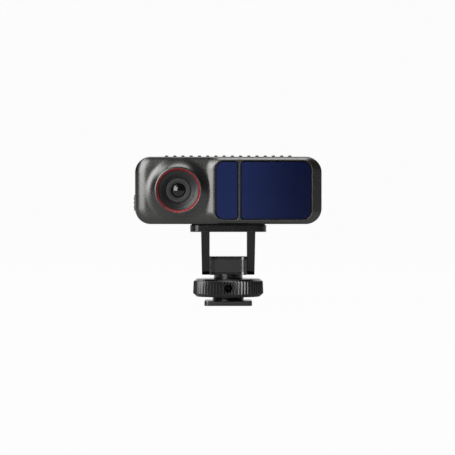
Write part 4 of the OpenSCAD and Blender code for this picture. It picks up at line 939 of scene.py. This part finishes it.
def yoke_plate(s):
    """Plate under the body, with two countersunk screw holes."""
    over, head_r, screw_r, spread = 0.2 * MM, 2.8 * MM, 1.55 * MM, 4.5 * MM
    low, high = YOKE_HIGH[2] - s.plate_t, YOKE_HIGH[2]
    rows = edge_rows(low, high, s.edge, s.edge)
    plate = make_mesh("plate", [slab(YOKE_LOW[:2], YOKE_HIGH[:2], s.plate_r, rows, [0, 1, 2], arc=20)])
    sink = [(0, low - over), (head_r + over, low - over), (screw_r, low + head_r - screw_r),
            (screw_r, high + over), (0, high + over)]
    return carve(plate, [lathe(sink, (x, 0), "Z", 48) for x in (-spread, spread)])


def yoke_leg(s, side):
    """Left (-1) or right (1) leg, with the tilt screw's bore and a pocket for its head or its nut.

    The side view stands at rows from the inner to the outer face, which leans, and is moved in along its
    normals by a quarter round at both."""
    over, past, pocket_d, bore, head_r, nut_r = 0.2 * MM, MM, 1.6 * MM, 1.5 * MM, 2.8 * MM, 2.829 * MM
    low, plate_z, inner = PIVOT_Z - s.leg_end, YOKE_HIGH[2] - s.plate_t, s.leg_gap / 2
    points, normals = leg_outline(s)
    n = len(points)
    outer = inner + s.leg_low_t + (s.leg_top_t - s.leg_low_t) * (points[:, 1] - low) / (plate_z - low)
    edge = [(s.edge + HOLD, 0, 0)]
    edge += [(inset, drop, 1) for inset, drop in quarter(s.edge)[::-1]]
    edge += [(0, s.edge + HOLD, 0)]
    rows = [(inset, np.full(n, inner + drop), worn) for inset, drop, worn in edge]
    rows += [(inset, outer - drop, worn) for inset, drop, worn in edge[::-1]]
    grid = np.stack([np.column_stack([side * x, points - normals * inset]) for inset, x, _ in rows])
    wear = np.repeat([worn for _, _, worn in rows], n)
    leg = make_mesh("leg", [part(grid, tube(len(rows), n), wear)])
    seat, mouth = side * (abs(TILT_LOW[0]) - pocket_d), side * (inner - over)
    end = side * (inner + s.leg_top_t + past)
    pocket, turns, radius = head_r, 64, None
    if side > 0:
        pocket, turns, radius = nut_r, 48, lambda profile, a: hexagon(profile, a, bore)
    hole = [(0, mouth), (bore, mouth), (bore, seat), (pocket, seat), (pocket, end), (0, end)]
    return carve(leg, [lathe(hole, (0, PIVOT_Z), "X", turns, radius=radius)])


def block_form(s, half_w, half_d, low, high):
    """Block whose front and back are hollow between its ends.

    The depth at (x, z) is half_d less the rounding of the outer edges, e - sqrt(e^2 - m^2) at m inside an
    edge's arc, and less the hollow, d (1 - (1 - a)^2), where a runs from 0 at its rim to 1 across its slope.
    A slight ramp stands out along the bottom."""
    e, t = s.panel_rim / 2, s.panel_top
    ramp_top, worn_share = low + s.panel_low, 0.3
    # Shares of a rounding at which its rows lie.
    arc = np.array([0, .02, .06, .13, .22, .34, .5, .7])
    near = np.concatenate([e * arc, [e], s.panel_rim + s.panel_side * np.linspace(0, 1, 17)])
    side = half_w - near
    across = np.concatenate([-side, np.linspace(-side[-1], side[-1], 9)[1:-1], side[::-1]])
    up = np.concatenate([low + e * arc, [low + e, ramp_top, ramp_top + e],
                         np.linspace(ramp_top + e, high - t, 7)[1:-1], high - t * np.append(arc, 1)[::-1]])
    x, z = np.meshgrid(across, up, indexing="ij")
    gap = half_w - np.abs(x)
    m_x, m_low, m_top = np.clip(e - gap, 0, e), np.clip(e - (z - low), 0, e), np.clip(t - (high - z), 0, t)
    a = np.clip((gap - s.panel_rim) / s.panel_side, 0, 1)
    f = 1 - (1 - a) ** 2
    ramp = s.panel_out * f * np.clip(1 - (z - low) / s.panel_low, 0, 1)
    cut = sum(r - np.sqrt(r * r - m * m) for r, m in ((e, m_x), (e, m_low), (t, m_top)))
    sheet = np.stack([x, half_d - cut - s.panel_d * f + ramp, z], -1)
    n, k = x.shape
    faces = quads(n, k, closed=False)
    ring = np.concatenate([np.arange(k), np.arange(2 * k - 1, n * k, k),
                           np.arange(n * k - 2, (n - 1) * k - 1, -1), np.arange((n - 2) * k, 0, -k)])
    ahead = np.roll(ring, -1)
    band = np.column_stack([ring, ahead, ahead + n * k, ring + n * k])
    points = np.concatenate([(sheet * (1, -1, 1)).reshape(-1, 3), sheet.reshape(-1, 3)])
    wear = ((m_x > 0) | (m_low > 0) | (m_top > worn_share * t)) * 1.0
    return part(points, np.concatenate([faces, faces + n * k, band]).tolist(), np.tile(wear.ravel(), 2))


def pivot_body(s):
    """Block with its cross bore, which is sunk at both ends for the friction washers."""
    over, bore, sink, sink_d = 0.2 * MM, 1.55 * MM, 3 * MM, 0.4 * MM
    half_w, half_d, high = BLOCK_HIGH
    block = make_mesh("block", [block_form(s, half_w, half_d, s.block_low, high)])
    seat, end = FRICTION_X - sink_d, half_w + over
    hole = [(0, -end), (sink, -end), (sink, -seat), (bore, -seat), (bore, seat), (sink, seat), (sink, end),
            (0, end)]
    return carve(block, [lathe(hole, (0, PIVOT_Z), "X", 48)])


class CAMERA_OT_bracket(bpy.types.Operator):
    """Builds the yoke's plate and legs, and the block that they tilt on with its neck"""
    bl_idname = "camera_part.bracket"
    bl_label = "Bracket"

    def execute(self, context):
        s = context.scene.part_mount
        yoke = join_meshes("tilting_yoke", [yoke_plate(s), yoke_leg(s, -1), yoke_leg(s, 1)])
        place("tilting_yoke", yoke, "black_metal", "head", "tilt_yoke")
        place("pivot_block_body", pivot_body(s), "block_metal", "base", "pivot_block", "black_metal")
        top, bottom, inside, soft = s.block_low + 0.3 * MM, BLOCK_LOW[2], 3.25 * MM, 0.1 * MM
        profile, wear = rounded([(inside, top), (inside, bottom), (s.neck_r, bottom), (s.neck_r, top)], soft)
        neck = lathe(profile, (0, 0), "Z", 128, wear)
        build("block_neck", [neck], "shaded_neck_metal", "base", "pivot_block", "black_metal")
        return {"FINISHED"}


class CAMERA_OT_wheel(bpy.types.Operator):
    """Builds the knurled clamping wheel with its chamfers, recess and bar hole"""
    bl_idname = "camera_part.wheel"
    bl_label = "Wheel"

    def execute(self, context):
        s = context.scene.part_mount
        press, tip, ridge_turns, rub = 0.02 * MM, 0.97, 12, 0.5
        low, high, outer = WHEEL_LOW[2], WHEEL_HIGH[2], WHEEL_HIGH[0]
        bore, shoulder = (INSERT_HIGH[0] - INSERT_LOW[0]) / 2 + press, high - s.recess_d
        chamfer_rows = 12
        f = np.linspace(0, 1, chamfer_rows)[:, None]
        rise = np.array([[outer - s.wheel_c_w, low]]) * (1 - f) + np.array([[outer, low + s.wheel_c_h]]) * f
        fall = rise[::-1] * (1, -1) + (0, low + high)
        recess = [(s.recess_r, high), (s.recess_r, shoulder), (bore, shoulder)]
        corners = np.concatenate([[(bore, low)], rise, fall, recess])
        soft = np.r_[.1, .3, np.zeros(2 * chamfer_rows - 2), .3, .25, .15, .1] * MM
        profile, wear = rounded(corners, soft)

        def ridges(points, a):
            """Radius over the wheel: a triangle wave with soft tips, R - d arccos(0.97 cos n a) / pi, with a
            slight taper to the top, cut by the profile's own radius."""
            ridge = outer - s.knurl_d * np.arccos(tip * np.cos(s.knurl_count * a)) / math.pi
            return np.minimum(points[:, :1], ridge - s.taper * (points[:, 1:2] - low - s.wheel_c_h))

        form = lathe(profile, (0, 0), "Z", s.knurl_count * ridge_turns, wear * rub, ridges)
        over, sink, sink_d, mouth_d = 0.3 * MM, 0.2 * MM, 1.2 * MM, 0.4 * MM
        floor, rim = s.bar_d - outer, s.bar_r + sink
        hole = [(0, floor + 2 * s.bar_r), (s.bar_r, floor), (s.bar_r, sink_d - outer), (rim, mouth_d - outer),
                (rim, -outer - over), (0, -outer - over)]
        cutter = lathe(hole, (0, (low + high) / 2), "Y", 64)
        wheel = carve(make_mesh("wheel", [form]), [cutter])
        place("knurled_wheel", wheel, "wheel_metal", "wheel", "lock_wheel", "black_metal")
        return {"FINISHED"}


class CAMERA_OT_foot(bpy.types.Operator):
    """Builds the shoe foot with its sunk screw hole, its flared stud and the disc under the wheel"""
    bl_idname = "camera_part.foot"
    bl_label = "Foot"

    def execute(self, context):
        s = context.scene.part_mount
        over, head, bore, stud, step = 0.2 * MM, 2.6 * MM, 1.5 * MM, 3.2 * MM, 1.3 * MM
        run, lift, play, rub = 0.025 * MM, 0.1 * MM, 0.05 * MM, 0.5
        low_edge, top_edge, stud_soft, disc_soft = 0.22 * MM, 0.3 * MM, 0.06 * MM, 0.1 * MM
        top = FOOT_HIGH[2]
        rows = edge_rows(FOOT_LOW[2], top, low_edge, top_edge)
        foot = make_mesh("foot", [slab(FOOT_LOW[:2], FOOT_HIGH[:2], s.foot_r, rows, [0, 1, 2])])
        hole = [(0, -over), (head + over, -over), (bore, head - bore), (bore, step), (stud, step),
                (stud, top + over), (0, top + over)]
        plate = carve(foot, [lathe(hole, (0, 0), "Z", 64)])
        place("shoe_plate", plate, "block_metal", "base", "shoe_foot", "black_metal")
        shaft, flare, stud_low, stud_high = stud - run, WASHER_LOW[2] - lift, STUD_LOW[2], STUD_HIGH[2]
        profile, wear = rounded([
            (shaft, stud_low), (shaft, top), (STUD_HIGH[0], top), (s.disc_r, flare), (shaft, flare),
            (shaft, stud_high), (bore, stud_high), (bore, stud_low)], stud_soft)
        form = lathe(profile, (0, 0), "Z", 96, wear * rub)
        build("flared_stud", [form], "shaded_neck_metal", "base", "foot_stud", "black_metal")
        inside, low, high = shaft + play, WASHER_LOW[2], WASHER_HIGH[2]
        profile, wear = rounded([(inside, low), (s.disc_r, low), (s.disc_r, high), (inside, high)], disc_soft)
        form = lathe(profile, (0, 0), "Z", 96, wear * rub)
        build("clamping_disc", [form], "shaded_neck_metal", "washer", "clamp_washer", "screw_steel")
        return {"FINISHED"}


# Finishes of the small and inner pieces, by slot: name, colour, worn edge, metallic, roughness, grit and
# depth of the bump in millimetres, tone and coat.
PLAIN_FINISHES = {
    # Moulded silicone: matt black with a slight bloom.
    "seal_rubber": ("moulded_silicone", "121212", "242424", 0.0, 0.75, 0.4, 0.02, 0.15, 0.0),
    # Satin steel: grey, with a fine turning grain.
    "screw_steel": ("satin_steel", "8d8e90", "b8b8ba", 1.0, 0.32, 0.15, 0.004, 0.08, 0.0),
    # Solder mask over glass fibre: dark green, slightly mottled by the weave.
    "board_green": ("solder_mask", "1d4a33", "2f6b4c", 0.0, 0.4, 0.6, 0.02, 0.18, 0.3),
    # Moulded epoxy packages: charcoal with a fine spark-eroded grain.
    "chip_black": ("moulded_epoxy", "1b1b1d", "333336", 0.0, 0.6, 0.2, 0.01, 0.15, 0.0),
    # Filled silicone pad: pale grey and dull.
    "thermal_grey": ("filled_silicone_pad", "74767a", "8c8e92", 0.0, 0.8, 0.5, 0.03, 0.12, 0.0),
    # Bare rolled aluminium: bright, with a soft grain.
    "spreader_metal": ("bare_aluminium", "b4b6b8", "b8b8ba", 1.0, 0.35, 0.3, 0.006, 0.06, 0.0),
    # Polyimide film: amber with a gloss.
    "ribbon_amber": ("polyimide_film", "8a5a1c", "a8742c", 0.0, 0.3, 0.5, 0.006, 0.1, 0.4),
    # Turned brass: warm and satin.
    "insert_brass": ("turned_brass", "b08d4a", "d0b070", 1.0, 0.3, 0.2, 0.006, 0.08, 0.0),
}


class CAMERA_OT_finishes(bpy.types.Operator):
    """Makes the finishes, and gives every CAD node the finish of its material slot"""
    bl_idname = "camera_part.finishes"
    bl_label = "Finishes"

    def execute(self, context):
        scene = context.scene
        casing, lens, mount = scene.part_casing, scene.part_lens, scene.part_mount
        anodised = {"grit": 0.25, "depth": 0.005, "tone": 0.06, "spread": 0.03}
        MATERIALS.update({
            # Bead-blasted, anodised aluminium: broad soft highlights and a very fine grain, drawn at 0.3 mm
            # to show.
            "gunmetal_case": metal_finish(
                "blasted_gunmetal_aluminium", casing.metal, casing.worn, metallic=0.97, roughness=0.28,
                grit=0.3, depth=0.001, tone=0.03, spread=0.02),
            # Black anodised, machined aluminium: deep grey with tight highlights and edges rubbed paler. The
            # pieces take this black in tones that are partly painted light and shade: darkest on the neck,
            # the stud and the disc, in the shade under the block and the wheel, and palest on the block and
            # the foot, where more light falls.
            "black_metal": metal_finish(
                "black_anodised_aluminium", mount.black, mount.worn, metallic=0.97, roughness=0.21,
                **anodised),
            "wheel_metal": metal_finish(
                "knurled_black_aluminium", mount.wheel_black, mount.worn, metallic=0.95, roughness=0.21,
                **anodised),
            # Partly painted light: a paler copy of the same anodised black, with the same roughness, for the
            # light on the block and the foot.
            "block_metal": metal_finish(
                "black_aluminium_painted_light", mount.block_black, mount.worn, metallic=0.97, roughness=0.21,
                **anodised),
            # Painted shade: the neck, the stud and the disc take a deeper black that stands partly for the
            # shade under the block and the wheel.
            "shaded_neck_metal": metal_finish(
                "deep_black_metal_painted_shade", mount.shaded_neck_black, mount.block_black, metallic=0.9, roughness=0.25,
                **anodised),
            # Red anodised ring: saturated, with a metallic glow on the lit side.
            "red_metal": metal_finish(
                "red_anodised_aluminium", lens.red, linear("b86a6c"), metallic=0.45, roughness=0.34,
                grit=0.25, depth=0.006, tone=0.08),
            # Moulded black polycarbonate: dull, with a faint spark-eroded texture.
            "lens_black": metal_finish(
                "moulded_black_polycarbonate", lens.black, linear("3c3c3c"), metallic=0.3, roughness=0.3,
                grit=0.2, depth=0.012, tone=0.1),
            "lens_grey": lens_barrel_finish(lens.grey),
            "lens_glass": glass_finish("coated_lens_glass", lens.glass, linear("1b1430")),
            "filter_glass": glass_finish("infrared_filter_glass", linear("1c3c44"), linear("20584e")),
            "window_glass": window_finish(scene.part_windows),
        })
        for slot, (name, base, worn, *numbers, coat) in PLAIN_FINISHES.items():
            MATERIALS[slot] = metal_finish(name, linear(base), linear(worn), *numbers, coat=coat)
        for item in frame["record"]["subparts"]:
            mesh = frame["nodes"][item["node"]].data
            mesh.materials.clear()
            mesh.materials.append(MATERIALS[item["material_slot"]])
        return {"FINISHED"}


def paper_finish(pale):
    """Pale paper that glows white for the camera, and for what mirrors it from behind and beside the object.

    The mirrored glow rises over a band of y + 0.35 |x|, so that the paper in front stays dim in the metal."""
    fibre_size, side_share, glow_share = 40, 0.35, 0.97
    near, far, least = 0.03, 0.15, 0.05
    material, tree, where = blank("pale_paper")
    tone = mix(tree, noise(tree, where, fibre_size, 2.0), rgba(pale, 0.99), rgba(pale))
    paper = add(tree, "ShaderNodeBsdfDiffuse", {"Color": tone}).outputs[0]
    glow = add(tree, "ShaderNodeEmission", {"Color": (1, 1, 1, 1), "Strength": 1.0}).outputs[0]
    ray = add(tree, "ShaderNodeLightPath").outputs
    mirrored = calc(tree, "MAXIMUM", ray["Is Glossy Ray"], ray["Is Transmission Ray"])
    x, y = add(tree, "ShaderNodeSeparateXYZ", {0: where}).outputs[:2]
    wedge = calc(tree, "MULTIPLY_ADD", calc(tree, "ABSOLUTE", x), side_share, y)
    behind = remap(tree, wedge, (near, far), (least, 1))
    seen = calc(tree, "MAXIMUM", ray["Is Camera Ray"], calc(tree, "MULTIPLY", mirrored, behind))
    share = calc(tree, "MULTIPLY", seen, glow_share)
    both = add(tree, "ShaderNodeMixShader", {0: share, 1: paper, 2: glow}).outputs[0]
    add(tree, "ShaderNodeOutputMaterial", {"Surface": both})
    return material


class CAMERA_OT_stage(bpy.types.Operator):
    """Builds the pale floor with its backdrop, the lamps, the room's light and the camera"""
    bl_idname = "camera_part.stage"
    bl_label = "Stage"

    def execute(self, context):
        s, scene = context.scene.part_stage, context.scene
        cove, depth, front, wide, tall = 0.9, 2.2, 3.0, 4.5, 3.2
        a = np.linspace(0, QUARTER, 25)
        bend = np.column_stack([depth + cove * np.sin(a), cove * (1 - np.cos(a))])
        profile = np.concatenate([[[-front, 0.0]], bend, [[depth + cove, tall]]])
        points = np.stack(np.broadcast_arrays([[-wide, wide]], profile[:, :1], profile[:, 1:]), -1)
        mesh = bpy.data.meshes.new("backdrop")
        mesh.from_pydata(points.reshape(-1, 3).tolist(), [], quads(len(profile), 2, closed=False).tolist())
        mesh.shade_smooth()
        mesh.materials.append(paper_finish(s.pale))
        floor = bpy.data.objects.new("backdrop", mesh)
        scene.collection.objects.link(floor)
        world = bpy.data.worlds.new("room")
        world.use_nodes = True
        tree = world.node_tree
        tree.nodes.clear()
        sky = add(tree, "ShaderNodeBackground", {"Color": (1, 1, 1, 1), "Strength": s.sky}).outputs[0]
        add(tree, "ShaderNodeOutputWorld", {"Surface": sky})
        scene.world = world
        middle = Vector((0, 0, 0.04))
        for name, watts, spot, size in (
            ("left_softbox", s.strip, (-0.86, -1.49, 0.526), (1.1, 1.12)),
            ("upper_softbox", s.upper, (-1.026, -0.864, 1.246), (0.9, 0.63)),
            ("high_softbox", s.high, (-0.04, -0.25, 1.8), (1.5, 0.72)),
            ("rear_softbox", s.rear, (-0.05, 0.45, 0.62), (0.9, 0.45)),
        ):
            lamp = bpy.data.lights.new(name, "AREA")
            lamp.energy, lamp.shape, lamp.size, lamp.size_y = watts, "RECTANGLE", *size
            thing = bpy.data.objects.new(name, lamp)
            scene.collection.objects.link(thing)
            thing.location = spot
            thing.rotation_euler = (middle - Vector(spot)).to_track_quat("-Z", "Y").to_euler()
        view = bpy.data.cameras.new("photo_camera")
        view.lens, view.sensor_width, view.clip_start, view.clip_end = s.focal, 36.0, 0.01, 20.0
        eye = bpy.data.objects.new("photo_camera", view)
        scene.collection.objects.link(eye)
        back = Vector((0, -math.cos(s.elevation), math.sin(s.elevation)))
        eye.location = Vector(s.aim) + back * (s.distance + s.aim[1])
        eye.rotation_euler = (-back).to_track_quat("-Z", "Y").to_euler()
        scene.camera = eye
        scene.view_settings.view_transform = "Standard"
        return {"FINISHED"}


class CAMERA_PT_parts(bpy.types.Panel):
    """Lists the camera's pieces"""
    bl_label = "Action camera"
    bl_idname = "CAMERA_PT_parts"
    bl_space_type = "VIEW_3D"
    bl_region_type = "UI"
    bl_category = "Camera"

    def draw(self, context):
        for operator in OPERATORS:
            self.layout.operator(operator.bl_idname)


MATERIALS = {}
SETTINGS = {"casing": CasingSettings, "lens": LensSettings, "windows": WindowSettings, "mount": MountSettings,
            "stage": StageSettings}
OPERATORS = (CAMERA_OT_finishes, CAMERA_OT_front_casing, CAMERA_OT_rear_casing, CAMERA_OT_lens,
             CAMERA_OT_windows, CAMERA_OT_button, CAMERA_OT_bracket, CAMERA_OT_wheel, CAMERA_OT_foot,
             CAMERA_OT_stage)


def register():
    for kind in (*SETTINGS.values(), *OPERATORS, CAMERA_PT_parts):
        bpy.utils.register_class(kind)
    for name, kind in SETTINGS.items():
        setattr(bpy.types.Scene, "part_" + name, PointerProperty(type=kind))


def unregister():
    for name in SETTINGS:
        delattr(bpy.types.Scene, "part_" + name)
    for kind in (CAMERA_PT_parts, *OPERATORS[::-1], *SETTINGS.values()):
        bpy.utils.unregister_class(kind)


def main():
    """Builds every piece in order."""
    register()
    for operator in OPERATORS:
        group, name = operator.bl_idname.split(".")
        getattr(getattr(bpy.ops, group), name)()


if __name__ == "__main__":
    main()
